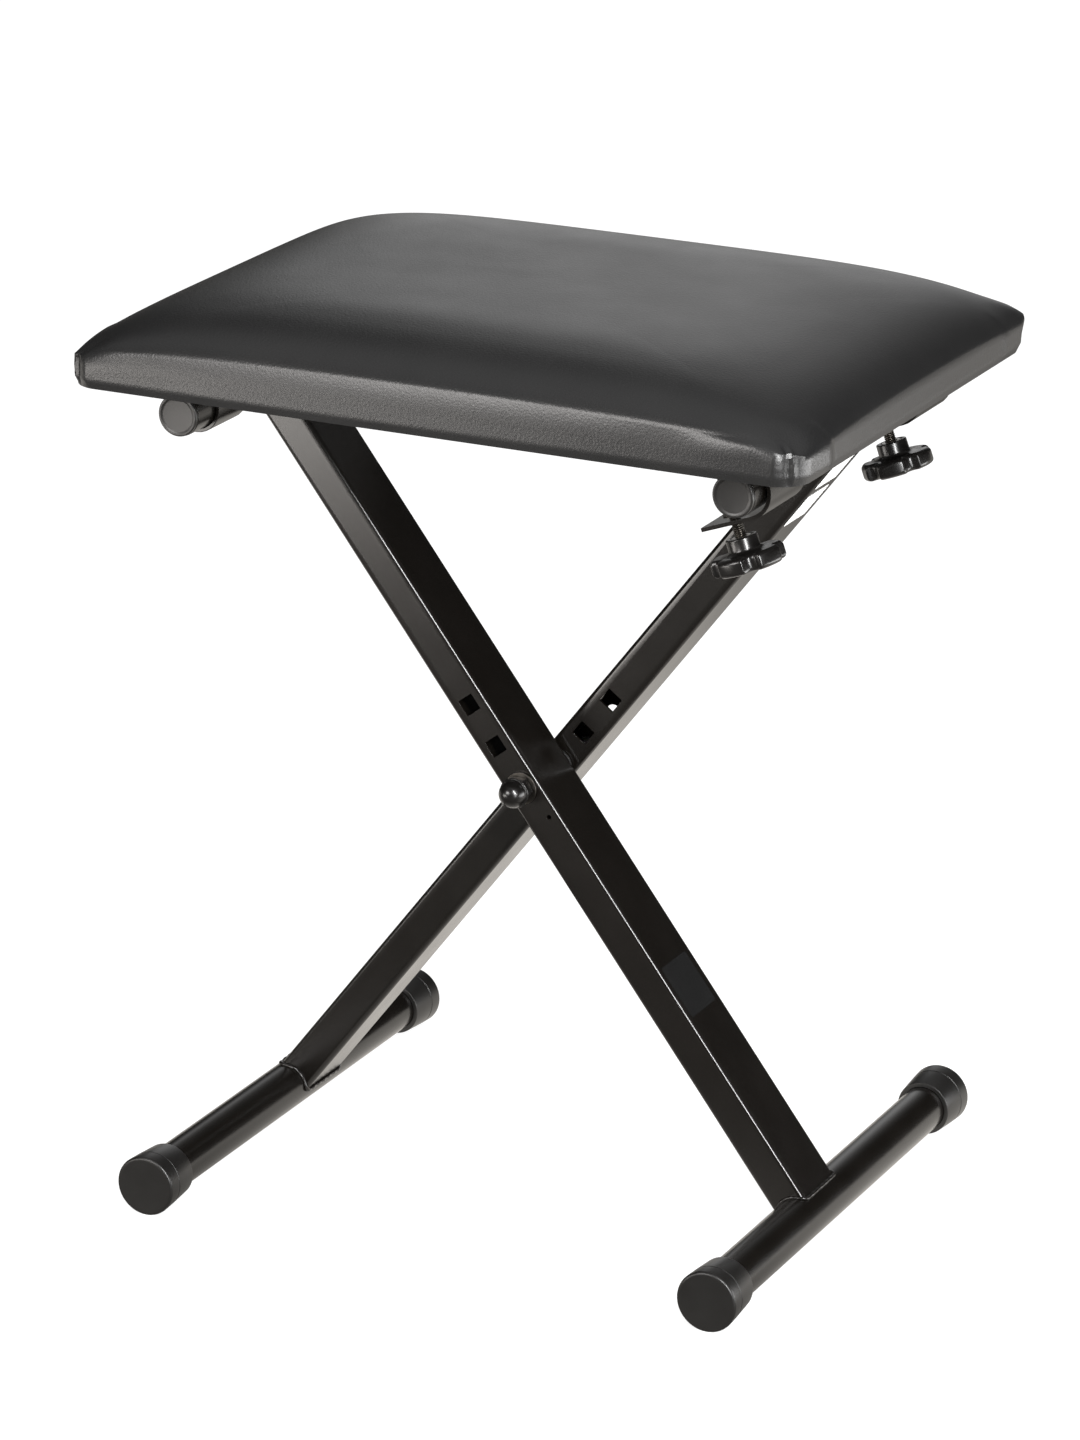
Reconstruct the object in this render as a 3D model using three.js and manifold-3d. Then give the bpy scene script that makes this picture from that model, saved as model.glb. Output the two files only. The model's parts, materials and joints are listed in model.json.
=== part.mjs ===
// A folding keyboard bench: a padded seat on an X frame of two crossed legs.
// Millimetres, +Z up, +X to the right of someone who looks at its front, front towards -Y.
// The origin is on the floor under the middle of the bench.
import * as THREE from 'three';
import { mergeVertices } from 'three/addons/utils/BufferGeometryUtils.js';
import Module from 'manifold-3d';

const wasm = await Module();
wasm.setup();

// Clearance between pieces that touch, and how far a cut runs past what it cuts
const clearance = 0.3;
const overrun = 3;

// Seat
const seatWidth = 400;
const seatDepth = 298;
const cushionHeight = 44.5;
const shoulderHeight = 13.5;
const seatCornerRadius = 15;
const seatBackShift = 3.5;
const coverThickness = 1.2;
const bottomTuck = 1.5;
const sideSwell = 0.7;
const sideDrawIn = 1.5;
const wrapMargin = 22;
const dustCoverThickness = 0.8;
const boardThickness = 12;
const boardCornerRadius = 12;

// The crown: how its rings step in to the middle, as shares of half the seat's size, and how
// it falls towards the ends and towards the front and back
const crownStepShares = [0.006, 0.02, 0.045, 0.087, 0.16, 0.28, 0.467, 0.72];
const endFall = { power: 5, root: 1.6 };
const sideFall = { power: 4.3, root: 3.1 };
const cornerGrowthShare = 0.45;
const roundestCornerShare = 0.85;
const cornerSteps = 6;
const longSideSteps = 6;
const shortSideSteps = 4;

// Frame: the pivot stands a little to the right of the seat's middle
const frameShift = 5.5;
const tubeInset = 49;
const tubeSetback = 24.5;
const footHalfSpan = 158.5;
const crossTubeHeight = 421.8;
const crossTubeRadius = 11;
const footTubeRadius = 12;
const footSpan = 307;
const tubeWall = 1.5;
const tubeSides = 24;

// Legs: rectangular tube, with the spare holes of the height settings above the pivot
const legThickness = 20;
const legDepth = 38;
const legCornerRadius = 2.5;
const legWall = 1.5;
const legSpacing = 2;
const squareHoleSize = 9;
const roundHoleRadius = 4.4;
const holePitch = 25;
const holeCount = 3;
const drainHoleRadius = 1.25;
const drainHoleDrop = 20;
const drainHoleOffset = 4;
const weldBead = 2.5;

// Foot caps and tube plugs
const capWall = 3.9;
const capRimWall = 2.3;
const capEnd = 3;
const capLength = 25.5;
const capDiscLength = 9;
const capStep = 0.4;
const capChamfer = 1.2;
const capSides = 24;
const plugRadius = 10.75;
const plugFlange = 2;
const plugStem = 12;
const plugChamfer = 0.6;

// Pivot bolt, its washers and its cap nut
const boltRadius = 4;
const boltReach = 10;
const hexFlats = 13;
const boltHeadHeight = 5.3;
const washerRadius = 8.5;
const washerThickness = 1.6;
const spacerRadius = 9.5;
const nutHexHeight = 6.5;
const nutRimRadius = 8;
const nutRim = 1.4;
const nutNeck = 0.9;
const nutDomeRadius = 7.2;
const nutBoreDepth = 11;

// Brackets that hold the seat: sprung clamps on the right, hinge saddles on the left
const bracketThickness = 2;
const bracketSetback = 55;
const strapWidth = 42;
const strapRingRadius = 12.4;
const leafReach = 32;
const leafHoleOffset = 20;
const leafHoleRadius = 3.75;
const tabReach = 28;
const tabTiltDegrees = 20;
const tabHoleRadius = 3.4;
const saddleLength = 30;
const flangeReach = 27;
const screwOffset = 19;
const screwHeadRadius = 4;
const screwHeadHeight = 2.4;
const screwRadius = 2;
const screwLength = 15.5;
const screwPoint = 2;
const wrapSteps = 14;

// Clamp knobs and their studs
const studOffset = 19.7;
const studRadius = 3;
const studTipRise = 24;
const studSeat = 12.5;
const studChamfer = 0.8;
const bareThread = 9.5;
const hubRadius = 8;
const hubHeight = 7.5;
const knobRadius = 18.6;
const knobThickness = 8.7;
const knobBevel = 1.6;
const knobLobes = 5;
const notchRadius = 4;
const notchRise = 0.5;
const insertRadius = 5;
const insertLength = 13;
const retainerRadius = 5.6;
const retainerThickness = 0.8;
const smallSides = 16;

// Tee nuts in the seat board
const teeNutRadius = 3.9;
const teeNutFlangeRadius = 9;
const teeNutFlange = 1.5;
const teeNutLength = 10;

// Places that follow from the sizes above
const capRadius = footTubeRadius + clearance + capWall;
const footHeight = capRadius * Math.cos(Math.PI / capSides);
const topHalfSpan = seatWidth / 2 - tubeInset;
const crossTubeSpan = seatDepth - 2 * tubeSetback;
const bracketSpacing = seatDepth - 2 * bracketSetback;
const legRun = topHalfSpan + footHalfSpan;
const legRise = crossTubeHeight - footHeight;
const legLean = Math.atan2(legRun, legRise);
const topReach = Math.hypot(legRun, legRise) * topHalfSpan / legRun;
const footReach = Math.hypot(legRun, legRise) * footHalfSpan / legRun;
const pivotHeight = crossTubeHeight - topReach * Math.cos(legLean);
const leftTubeX = frameShift - topHalfSpan;
const rightTubeX = frameShift + topHalfSpan;
const legOuterFace = legSpacing / 2 + legDepth;
const seatBottom = crossTubeHeight + crossTubeRadius + clearance + bracketThickness + clearance;
const boardBottom = coverThickness + clearance;
const boardTop = boardBottom + boardThickness;
const bracketPlaces = { near: seatBackShift - bracketSpacing / 2, far: seatBackShift + bracketSpacing / 2 };
const tabTilt = THREE.MathUtils.degToRad(tabTiltDegrees);
const ringDrop = strapRingRadius - crossTubeRadius - clearance;
const tabTop = ringDrop * Math.cos(tabTilt) + strapRingRadius;
const tabBottom = tabTop + bracketThickness;
const hubTop = tabBottom + bareThread;

// Materials
const vinyl = new THREE.MeshStandardMaterial({ color: 0x1d1c1c, roughness: 0.45, metalness: 0 });
const foam = new THREE.MeshStandardMaterial({ color: 0xe6dcb8, roughness: 0.95, metalness: 0 });
const plywood = new THREE.MeshStandardMaterial({ color: 0xc49a68, roughness: 0.8, metalness: 0 });
const feltCloth = new THREE.MeshStandardMaterial({ color: 0x1a1a1a, roughness: 1, metalness: 0 });
const blackPaint = new THREE.MeshStandardMaterial({ color: 0x121110, roughness: 0.3, metalness: 0.2 });
const satinPlastic = new THREE.MeshStandardMaterial({ color: 0x1c1b1a, roughness: 0.5, metalness: 0 });
const glossPlastic = new THREE.MeshStandardMaterial({ color: 0x0c0c0c, roughness: 0.15, metalness: 0 });
const zincSteel = new THREE.MeshStandardMaterial({ color: 0xc8c6c0, roughness: 0.3, metalness: 1 });

// A closed geometry as a solid that can be cut and joined
function toSolid(geometry) {
  geometry.deleteAttribute('normal');
  geometry.deleteAttribute('uv');
  const merged = mergeVertices(geometry);
  const vertProperties = new Float32Array(merged.attributes.position.array);
  const triVerts = new Uint32Array(merged.index.array);
  return new wasm.Manifold(new wasm.Mesh({ numProp: 3, vertProperties, triVerts }));
}

function toGeometry(solid) {
  const mesh = solid.getMesh();
  const geometry = new THREE.BufferGeometry();
  geometry.setAttribute('position', new THREE.BufferAttribute(new Float32Array(mesh.vertProperties), 3));
  geometry.setIndex(new THREE.BufferAttribute(new Uint32Array(mesh.triVerts), 1));
  const faceted = geometry.toNonIndexed();
  faceted.computeVertexNormals();
  return faceted;
}

function cut(geometry, ...cutters) {
  const solid = cutters.reduce((rest, cutter) => rest.subtract(toSolid(cutter)), toSolid(geometry));
  return toGeometry(solid);
}

function join(first, second) {
  return toGeometry(toSolid(first).add(toSolid(second)));
}

// A round bar of the given radius between two heights, upright along Z
function uprightBar(radius, bottom, top, sides = smallSides) {
  const bar = new THREE.CylinderGeometry(radius, radius, top - bottom, sides);
  return bar.rotateX(Math.PI / 2).translate(0, 0, (top + bottom) / 2);
}

// A shape drawn in X and Z, extruded along Y around the middle
function extrudeAlongY(shape, length, curveSegments = 4) {
  const options = { depth: length, bevelEnabled: false, curveSegments };
  return new THREE.ExtrudeGeometry(shape, options).rotateX(Math.PI / 2).translate(0, length / 2, 0);
}

// A turned piece: points of radius and length, turned about the Y axis
function turned(points, sides) {
  const profile = points.map(([radius, length]) => new THREE.Vector2(radius, length));
  return new THREE.LatheGeometry(profile, sides);
}

function turnedUpright(points, sides) {
  return turned(points, sides).rotateX(Math.PI / 2);
}

function roundTube(outerRadius, innerRadius, length, sides) {
  const half = length / 2;
  const points = [
    [innerRadius, -half], [outerRadius, -half], [outerRadius, half], [innerRadius, half],
    [innerRadius, -half],
  ];
  return turned(points, sides);
}

function roundedRectangle(width, depth, radius) {
  const shape = new THREE.Shape();
  const x = width / 2 - radius;
  const y = depth / 2 - radius;
  shape.absarc(x, y, radius, 0, Math.PI / 2);
  shape.absarc(-x, y, radius, Math.PI / 2, Math.PI);
  shape.absarc(-x, -y, radius, Math.PI, Math.PI * 3 / 2);
  shape.absarc(x, -y, radius, Math.PI * 3 / 2, Math.PI * 2);
  return shape;
}

function leftNormal(from, to) {
  const along = to.clone().sub(from).normalize();
  return new THREE.Vector2(-along.y, along.x);
}

// A path moved to its left by a distance, with mitred corners
function offsetPath(path, distance) {
  return path.map((point, i) => {
    const normals = [];
    if (i > 0) normals.push(leftNormal(path[i - 1], point));
    if (i < path.length - 1) normals.push(leftNormal(point, path[i + 1]));
    const sum = normals.reduce((total, normal) => total.add(normal), new THREE.Vector2());
    return point.clone().addScaledVector(sum, distance / sum.dot(normals[0]));
  });
}

function bentStrip(path, thickness) {
  const left = offsetPath(path, thickness / 2);
  const right = offsetPath(path, -thickness / 2).reverse();
  return new THREE.Shape([...left, ...right]);
}

function arcPoints(centreZ, radius, from, to, steps) {
  return Array.from({ length: steps + 1 }, (unused, i) => {
    const angle = from + (to - from) * i / steps;
    return new THREE.Vector2(radius * Math.cos(angle), centreZ + radius * Math.sin(angle));
  });
}

// The crown's height over a place on the seat, this deep under its skin
function crownHeight(x, y, depth) {
  const fall = (reach, half, { power, root }) => (
    (1 - Math.min(Math.abs(reach) / half, 1) ** power) ** (1 / root)
  );
  const alongWidth = fall(x, seatWidth / 2 - depth, endFall);
  const alongDepth = fall(y, seatDepth / 2 - depth, sideFall);
  return shoulderHeight + (cushionHeight - depth - shoulderHeight) * alongWidth * alongDepth;
}

// One line round the cushion: a rounded rectangle whose sides are drawn in between its corners
function cushionRing(inset, drawIn, heightAt) {
  const halfWidth = seatWidth / 2 - inset;
  const halfDepth = seatDepth / 2 - inset;
  const grown = seatCornerRadius + inset * cornerGrowthShare;
  const radius = Math.min(grown, halfDepth * roundestCornerShare);
  const corners = [[1, 1], [-1, 1], [-1, -1], [1, -1]];
  const ring = [];
  corners.forEach(([signX, signY], quarter) => {
    const centre = [signX * (halfWidth - radius), signY * (halfDepth - radius)];
    for (let i = 0; i <= cornerSteps; i++) {
      const angle = Math.PI / 2 * (quarter + i / cornerSteps);
      const x = centre[0] + radius * Math.cos(angle);
      const y = centre[1] + radius * Math.sin(angle);
      ring.push([x, y, heightAt(x, y)]);
    }
    const alongX = quarter % 2 === 0;
    const steps = alongX ? longSideSteps : shortSideSteps;
    const straight = alongX ? halfWidth - radius : halfDepth - radius;
    for (let i = 1; i < steps; i++) {
      const share = 1 - 2 * i / steps;
      const pull = drawIn * (1 - share * share);
      const x = alongX ? signX * straight * share : signX * halfWidth;
      const y = alongX ? signY * halfDepth : signY * straight * share;
      const height = heightAt(x, y);
      ring.push(alongX ? [x, y - signY * pull, height] : [x - signX * pull, y, height]);
    }
  });
  return ring;
}

function levelRing(inset, height) {
  const drawIn = sideDrawIn * Math.min(height / shoulderHeight, 1);
  return cushionRing(inset, drawIn, () => height);
}

// The cushion's skin from its bottom edge up to the last ring of the crown, this deep inside it
function skinRings(depth) {
  const side = [
    levelRing(depth + bottomTuck, depth), levelRing(depth + sideSwell, shoulderHeight / 3),
    levelRing(depth, shoulderHeight),
  ];
  const crown = crownStepShares.map((share) => {
    const inset = depth + share * (seatDepth / 2 - depth);
    return cushionRing(inset, sideDrawIn * (1 - share), (x, y) => crownHeight(x, y, depth));
  });
  return [...side, ...crown];
}

// A closed skin over rings that climb outside, closed by a point at either end. Each patch is
// folded along its higher diagonal, so that the crown bulges.
function loft(rings, firstHeight, lastHeight) {
  const count = rings[0].length;
  const positions = rings.flat(2);
  positions.push(0, 0, firstHeight, 0, 0, lastHeight);
  const rise = (one, other) => positions[3 * one + 2] + positions[3 * other + 2];
  const firstPoint = rings.length * count;
  const lastPoint = firstPoint + 1;
  const index = [];
  for (let j = 0; j < count; j++) {
    const next = (j + 1) % count;
    index.push(firstPoint, next, j);
    for (let i = 0; i < rings.length - 1; i++) {
      const [a, b] = [i * count + j, i * count + next];
      const [c, d] = [b + count, a + count];
      if (rise(a, c) > rise(b, d)) index.push(a, b, c, a, c, d);
      else index.push(a, b, d, b, c, d);
    }
    index.push(lastPoint, firstPoint - count + j, firstPoint - count + next);
  }
  const geometry = new THREE.BufferGeometry();
  geometry.setAttribute('position', new THREE.Float32BufferAttribute(positions, 3));
  geometry.setIndex(index);
  return geometry;
}

// The vinyl cover: crowned over the foam, wrapped round the board and open underneath
function seatCover() {
  const hem = (height) => levelRing(bottomTuck + wrapMargin, height);
  const inside = [hem(coverThickness), ...skinRings(coverThickness)].reverse();
  const outside = [hem(0), ...skinRings(0)];
  const skin = loft([...inside, ...outside], cushionHeight - coverThickness, cushionHeight);
  return skin.toNonIndexed();
}

function seatFoam() {
  const depth = coverThickness + clearance;
  const block = loft(skinRings(depth), depth, cushionHeight - depth);
  const floor = boardTop + clearance;
  const below = new THREE.BoxGeometry(seatWidth, seatDepth, floor + overrun);
  return cut(block, below.translate(0, 0, (floor - overrun) / 2));
}

function dustCover() {
  const edge = bottomTuck + wrapMargin + clearance;
  const sheet = loft([levelRing(edge, 0), levelRing(edge, dustCoverThickness)], 0, dustCoverThickness);
  return cut(sheet, ...boardHoles(leafHoleRadius + clearance, -overrun, dustCoverThickness + overrun));
}

// Upright bars through the board where the tee nuts and the hinge screws go
function boardHoles(teeNutHole, bottom, top) {
  const bars = [];
  for (const y of Object.values(bracketPlaces)) {
    const row = y - seatBackShift;
    bars.push(uprightBar(teeNutHole, bottom, top).translate(rightTubeX - leafHoleOffset, row, 0));
    for (const side of [-1, 1]) {
      const hole = uprightBar(screwRadius + clearance, bottom, top);
      bars.push(hole.translate(leftTubeX + side * screwOffset, row, 0));
    }
  }
  return bars;
}

function seatBoard() {
  const inset = bottomTuck + coverThickness + clearance + sideDrawIn;
  const outline = roundedRectangle(seatWidth - 2 * inset, seatDepth - 2 * inset, boardCornerRadius);
  const options = { depth: boardThickness, bevelEnabled: false, curveSegments: cornerSteps };
  const board = new THREE.ExtrudeGeometry(outline, options).translate(0, 0, boardBottom);
  const holes = boardHoles(teeNutRadius + clearance, boardBottom - overrun, boardTop + overrun);
  const recessFloor = boardTop - teeNutFlange - 2 * clearance;
  const recesses = Object.values(bracketPlaces).map((y) => {
    const recess = uprightBar(teeNutFlangeRadius + clearance, recessFloor, boardTop + overrun);
    return recess.translate(rightTubeX - leafHoleOffset, y - seatBackShift, 0);
  });
  return cut(board, ...holes, ...recesses);
}

function teeNut() {
  const top = boardTop - clearance;
  const bore = studRadius + clearance;
  return turnedUpright([
    [bore, top - teeNutLength], [teeNutRadius, top - teeNutLength], [teeNutRadius, top - teeNutFlange],
    [teeNutFlangeRadius, top - teeNutFlange], [teeNutFlangeRadius, top], [bore, top],
    [bore, top - teeNutLength],
  ], smallSides);
}

// A cross tube's end plug: a disc against the tube's end and a stem inside it, facing +Y
function tubePlug() {
  const stemRadius = crossTubeRadius - tubeWall - clearance;
  return turned([
    [0, -plugFlange - clearance - plugStem], [stemRadius, -plugFlange - clearance - plugStem],
    [stemRadius, -plugFlange], [plugRadius, -plugFlange], [plugRadius, -plugChamfer],
    [plugRadius - plugChamfer, 0], [0, 0],
  ], tubeSides);
}

// A foot cap: a sleeve over the foot tube with a closed end, facing +Y, one flat side down
function footCap() {
  const bore = footTubeRadius + clearance;
  const rim = bore + capRimWall;
  const points = [
    [0, -capEnd], [bore, -capEnd], [bore, -capLength], [rim - capStep, -capLength],
    [rim, capStep - capLength], [capRadius - capStep, -capDiscLength - capStep],
    [capRadius, -capDiscLength], [capRadius, -capChamfer], [capRadius - capChamfer, 0], [0, 0],
  ];
  return turned(points, capSides).rotateY(Math.PI / capSides);
}

// A leg along Z with the pivot at the origin, its front face towards -Y, hollow and open at both
// ends, where it fits over the round of the cross tube and of the foot tube
function leg(hasDrainHole) {
  const outline = roundedRectangle(legThickness, legDepth, legCornerRadius);
  const wall = 2 * legWall;
  const inside = roundedRectangle(legThickness - wall, legDepth - wall, legCornerRadius - legWall);
  outline.holes.push(new THREE.Path(inside.getPoints(2).reverse()));
  const options = { depth: topReach + footReach, bevelEnabled: false, curveSegments: 3 };
  const tube = new THREE.ExtrudeGeometry(outline, options).translate(0, 0, -footReach);
  const cuts = [copeBar(crossTubeRadius, topReach), copeBar(footTubeRadius, -footReach)];
  const wallDepth = legWall + overrun;
  const frontWall = (legWall - legDepth) / 2;
  for (let i = 0; i < holeCount; i++) {
    const square = new THREE.BoxGeometry(squareHoleSize, wallDepth, squareHoleSize);
    cuts.push(square.translate(0, frontWall, i * holePitch));
    const round = new THREE.CylinderGeometry(roundHoleRadius, roundHoleRadius, wallDepth, smallSides);
    cuts.push(round.translate(0, -frontWall, i * holePitch));
  }
  if (hasDrainHole) {
    const drain = new THREE.CylinderGeometry(drainHoleRadius, drainHoleRadius, wallDepth, smallSides);
    cuts.push(drain.translate(drainHoleOffset, frontWall, -drainHoleDrop));
  }
  return cut(tube, ...cuts);
}

function copeBar(tubeRadius, height, extra = 0) {
  const radius = tubeRadius + clearance + extra;
  const bar = new THREE.CylinderGeometry(radius, radius, legDepth * 2, tubeSides);
  return bar.translate(0, 0, height);
}

// The weld bead that runs round a leg where it meets a tube, in the leg's own frame
function weld(tubeRadius, height) {
  const grow = clearance + weldBead;
  const length = tubeRadius + grow;
  const collar = (extra) => {
    const shape = roundedRectangle(legThickness + 2 * extra, legDepth + 2 * extra, legCornerRadius + extra);
    const options = { depth: length, bevelEnabled: false, curveSegments: 3 };
    return new THREE.ExtrudeGeometry(shape, options).translate(0, 0, height > 0 ? height - length : height);
  };
  const bead = toSolid(collar(grow)).subtract(toSolid(collar(clearance)));
  const notch = toSolid(copeBar(tubeRadius, height));
  const shell = toSolid(copeBar(tubeRadius, height, weldBead)).subtract(notch);
  return toGeometry(bead.intersect(shell));
}

function hexagon(flats) {
  const corner = flats / Math.sqrt(3);
  const points = Array.from({ length: 6 }, (unused, i) => (
    new THREE.Vector2(corner * Math.cos(Math.PI / 3 * i), corner * Math.sin(Math.PI / 3 * i))
  ));
  return new THREE.Shape(points);
}

// The pivot bolt along Y, with its head behind the rear leg and its thread in the cap nut
function pivotBolt() {
  const seatFace = legOuterFace + washerThickness + 2 * clearance;
  const headMiddle = seatFace + boltHeadHeight / 2;
  const head = extrudeAlongY(hexagon(hexFlats), boltHeadHeight).translate(0, headMiddle, 0);
  const length = 2 * seatFace + boltReach + overrun;
  const shank = new THREE.CylinderGeometry(boltRadius, boltRadius, length, smallSides);
  return join(head, shank.translate(0, (overrun - boltReach) / 2, 0));
}

function pivotWasher(radius, thickness) {
  return roundTube(radius, boltRadius + clearance, thickness, smallSides);
}

// The cap nut along Y with its open side at the origin and its dome towards -Y
function capNut() {
  const rimFront = -nutHexHeight - nutRim;
  const domeCentre = rimFront - nutNeck;
  const hex = extrudeAlongY(hexagon(hexFlats), nutHexHeight).translate(0, -nutHexHeight / 2, 0);
  const dome = [];
  for (let i = 0; i <= cornerSteps; i++) {
    const angle = Math.PI / 2 * i / cornerSteps;
    dome.push([nutDomeRadius * Math.sin(angle), domeCentre - nutDomeRadius * Math.cos(angle)]);
  }
  const cap = turned([
    ...dome, [nutDomeRadius, rimFront], [nutRimRadius, rimFront], [nutRimRadius, -nutHexHeight],
    [nutDomeRadius / 2, -nutHexHeight], [nutDomeRadius / 2, -nutHexHeight / 2], [0, -nutHexHeight / 2],
  ], tubeSides);
  const boreRadius = boltRadius + clearance;
  const bore = new THREE.CylinderGeometry(boreRadius, boreRadius, nutBoreDepth + overrun, smallSides);
  return cut(join(hex, cap), bore.translate(0, (overrun - nutBoreDepth) / 2, 0));
}

// A sprung clamp strap round the right cross tube, whose axis is the origin: the leaf lies flat
// under the seat, the strap runs round the tube's right side, and the tab leaves it below
function clampStrap() {
  const middle = strapRingRadius + bracketThickness / 2;
  const wrap = arcPoints(-ringDrop, middle, Math.PI / 2, tabTilt - Math.PI / 2, wrapSteps);
  const leafEnd = new THREE.Vector2(-leafReach, wrap[0].y);
  const tabEnd = wrap[wrapSteps].clone();
  tabEnd.x -= tabReach * Math.cos(tabTilt);
  tabEnd.y -= tabReach * Math.sin(tabTilt);
  const strap = extrudeAlongY(bentStrip([leafEnd, ...wrap, tabEnd], bracketThickness), strapWidth);
  const leafHole = uprightBar(leafHoleRadius, wrap[0].y - overrun, wrap[0].y + overrun);
  const tabHole = uprightBar(tabHoleRadius, -tabBottom - overrun, -tabTop + overrun);
  tabHole.translate(-studOffset, 0, 0);
  return cut(strap, leafHole.translate(-leafHoleOffset, 0, 0), tabHole.rotateY(-tabTilt));
}

// A hinge saddle under the left cross tube, whose axis is the origin
function hingeSaddle() {
  const middle = crossTubeRadius + clearance + bracketThickness / 2;
  const flange = crossTubeRadius - bracketThickness / 2;
  const round = arcPoints(0, middle, -Math.PI, 0, wrapSteps);
  const path = [
    new THREE.Vector2(-flangeReach, flange), new THREE.Vector2(-middle, flange), ...round,
    new THREE.Vector2(middle, flange), new THREE.Vector2(flangeReach, flange),
  ];
  const saddle = extrudeAlongY(bentStrip(path, bracketThickness), saddleLength);
  return cut(saddle, ...screwHoles(flange));
}

function screwHoles(height) {
  return [-1, 1].map((side) => {
    const hole = uprightBar(screwRadius + clearance, height - overrun, height + overrun);
    return hole.translate(side * screwOffset, 0, 0);
  });
}

// The flat plate between the hinge saddle and the seat
function hingePlate() {
  const height = crossTubeRadius + clearance + bracketThickness / 2;
  const plate = new THREE.BoxGeometry(2 * flangeReach, saddleLength, bracketThickness);
  return cut(plate.translate(0, 0, height), ...screwHoles(height));
}

// A pan head screw upright along Z, its head's upper face at the origin
function hingeScrew() {
  return turnedUpright([
    [0, -screwHeadHeight], [screwHeadRadius / 2, -screwHeadHeight], [screwHeadRadius, -screwHeadHeight / 2],
    [screwHeadRadius, 0], [screwRadius, 0], [screwRadius, screwLength - screwPoint], [0, screwLength],
  ], smallSides);
}

// The pieces of a clamp knob stand on the stud's axis, along Z, under the cross tube's axis at zero
function knobBody() {
  const discTop = -hubTop - hubHeight;
  const radius = knobRadius - knobBevel;
  const notch = notchRadius + knobBevel;
  const reach = knobRadius + notchRise;
  const halfNotch = Math.acos((radius ** 2 + reach ** 2 - notch ** 2) / (2 * radius * reach));
  const halfSwing = Math.acos((notch ** 2 + reach ** 2 - radius ** 2) / (2 * notch * reach));
  const lobe = Math.PI * 2 / knobLobes;
  const shape = new THREE.Shape();
  for (let i = 1; i <= knobLobes; i++) {
    const axis = i * lobe;
    const inward = axis + Math.PI;
    shape.absarc(0, 0, radius, axis - lobe + halfNotch, axis - halfNotch);
    const centre = [reach * Math.cos(axis), reach * Math.sin(axis)];
    shape.absarc(...centre, notch, inward + halfSwing, inward - halfSwing, true);
  }
  const options = {
    depth: knobThickness - 2 * knobBevel, curveSegments: 4,
    bevelThickness: knobBevel, bevelSize: knobBevel, bevelSegments: 1,
  };
  const disc = new THREE.ExtrudeGeometry(shape, options);
  disc.translate(0, 0, discTop - knobThickness + knobBevel);
  const hub = uprightBar(hubRadius, discTop - knobBevel, -hubTop);
  const boreFloor = -hubTop - insertLength - clearance;
  return cut(join(disc, hub), uprightBar(insertRadius + clearance, boreFloor, overrun - hubTop));
}

function knobInsert() {
  const inner = studRadius + clearance;
  return turnedUpright([
    [inner, -hubTop - insertLength], [insertRadius, -hubTop - insertLength], [insertRadius, -hubTop],
    [inner, -hubTop], [inner, -hubTop - insertLength],
  ], smallSides);
}

function knobStud() {
  const tip = studTipRise - tabTop;
  return turnedUpright([
    [0, -hubTop - studSeat], [studRadius, -hubTop - studSeat], [studRadius, tip - studChamfer],
    [studRadius - studChamfer, tip], [0, tip],
  ], smallSides);
}

function studRetainer() {
  const bottom = clearance - tabTop;
  const inner = studRadius + clearance;
  return turnedUpright([
    [inner, bottom], [retainerRadius, bottom], [retainerRadius, bottom + retainerThickness],
    [inner, bottom + retainerThickness], [inner, bottom],
  ], smallSides);
}

function place(group, name, geometry, material, x = 0, y = 0, z = 0) {
  const mesh = new THREE.Mesh(geometry, material);
  mesh.name = name;
  mesh.position.set(x, y, z);
  group.add(mesh);
  return mesh;
}

// The same plug or cap at both ends of a tube, the near one turned to face -Y
function placeEnds(group, name, makeEnd, material, x, halfLength, z) {
  place(group, `near_${name}`, makeEnd().rotateX(Math.PI).rotateY(Math.PI), material, x, -halfLength, z);
  place(group, `far_${name}`, makeEnd(), material, x, halfLength, z);
}

// One half of the X: a leg with its cross tube, foot tube, end plugs, foot caps and weld beads
function legFrame(name, crossSide, lean, legY, crossX, footX) {
  const footSide = crossSide === 'left' ? 'right' : 'left';
  const frame = new THREE.Group();
  const crossLength = crossTubeSpan - 2 * (plugFlange + clearance);
  const crossTube = roundTube(crossTubeRadius, crossTubeRadius - tubeWall, crossLength, tubeSides);
  place(frame, `${crossSide}_cross_tube`, crossTube, blackPaint, crossX, 0, crossTubeHeight);
  const plugName = `${crossSide}_tube_plug`;
  placeEnds(frame, plugName, tubePlug, satinPlastic, crossX, crossTubeSpan / 2, crossTubeHeight);
  const footLength = footSpan - 2 * (capEnd + clearance);
  const footTube = roundTube(footTubeRadius, footTubeRadius - tubeWall, footLength, tubeSides);
  place(frame, `${footSide}_foot_tube`, footTube, blackPaint, footX, 0, footHeight);
  placeEnds(frame, `${footSide}_foot_cap`, footCap, satinPlastic, footX, footSpan / 2, footHeight);
  const tilted = new THREE.Group();
  tilted.position.set(frameShift, legY, pivotHeight);
  tilted.rotation.y = lean;
  place(tilted, `${name}_leg`, leg(name === 'front'), blackPaint);
  place(tilted, `${name}_leg_top_weld`, weld(crossTubeRadius, topReach), blackPaint);
  place(tilted, `${name}_leg_foot_weld`, weld(footTubeRadius, -footReach), blackPaint);
  frame.add(tilted);
  return frame;
}

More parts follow.
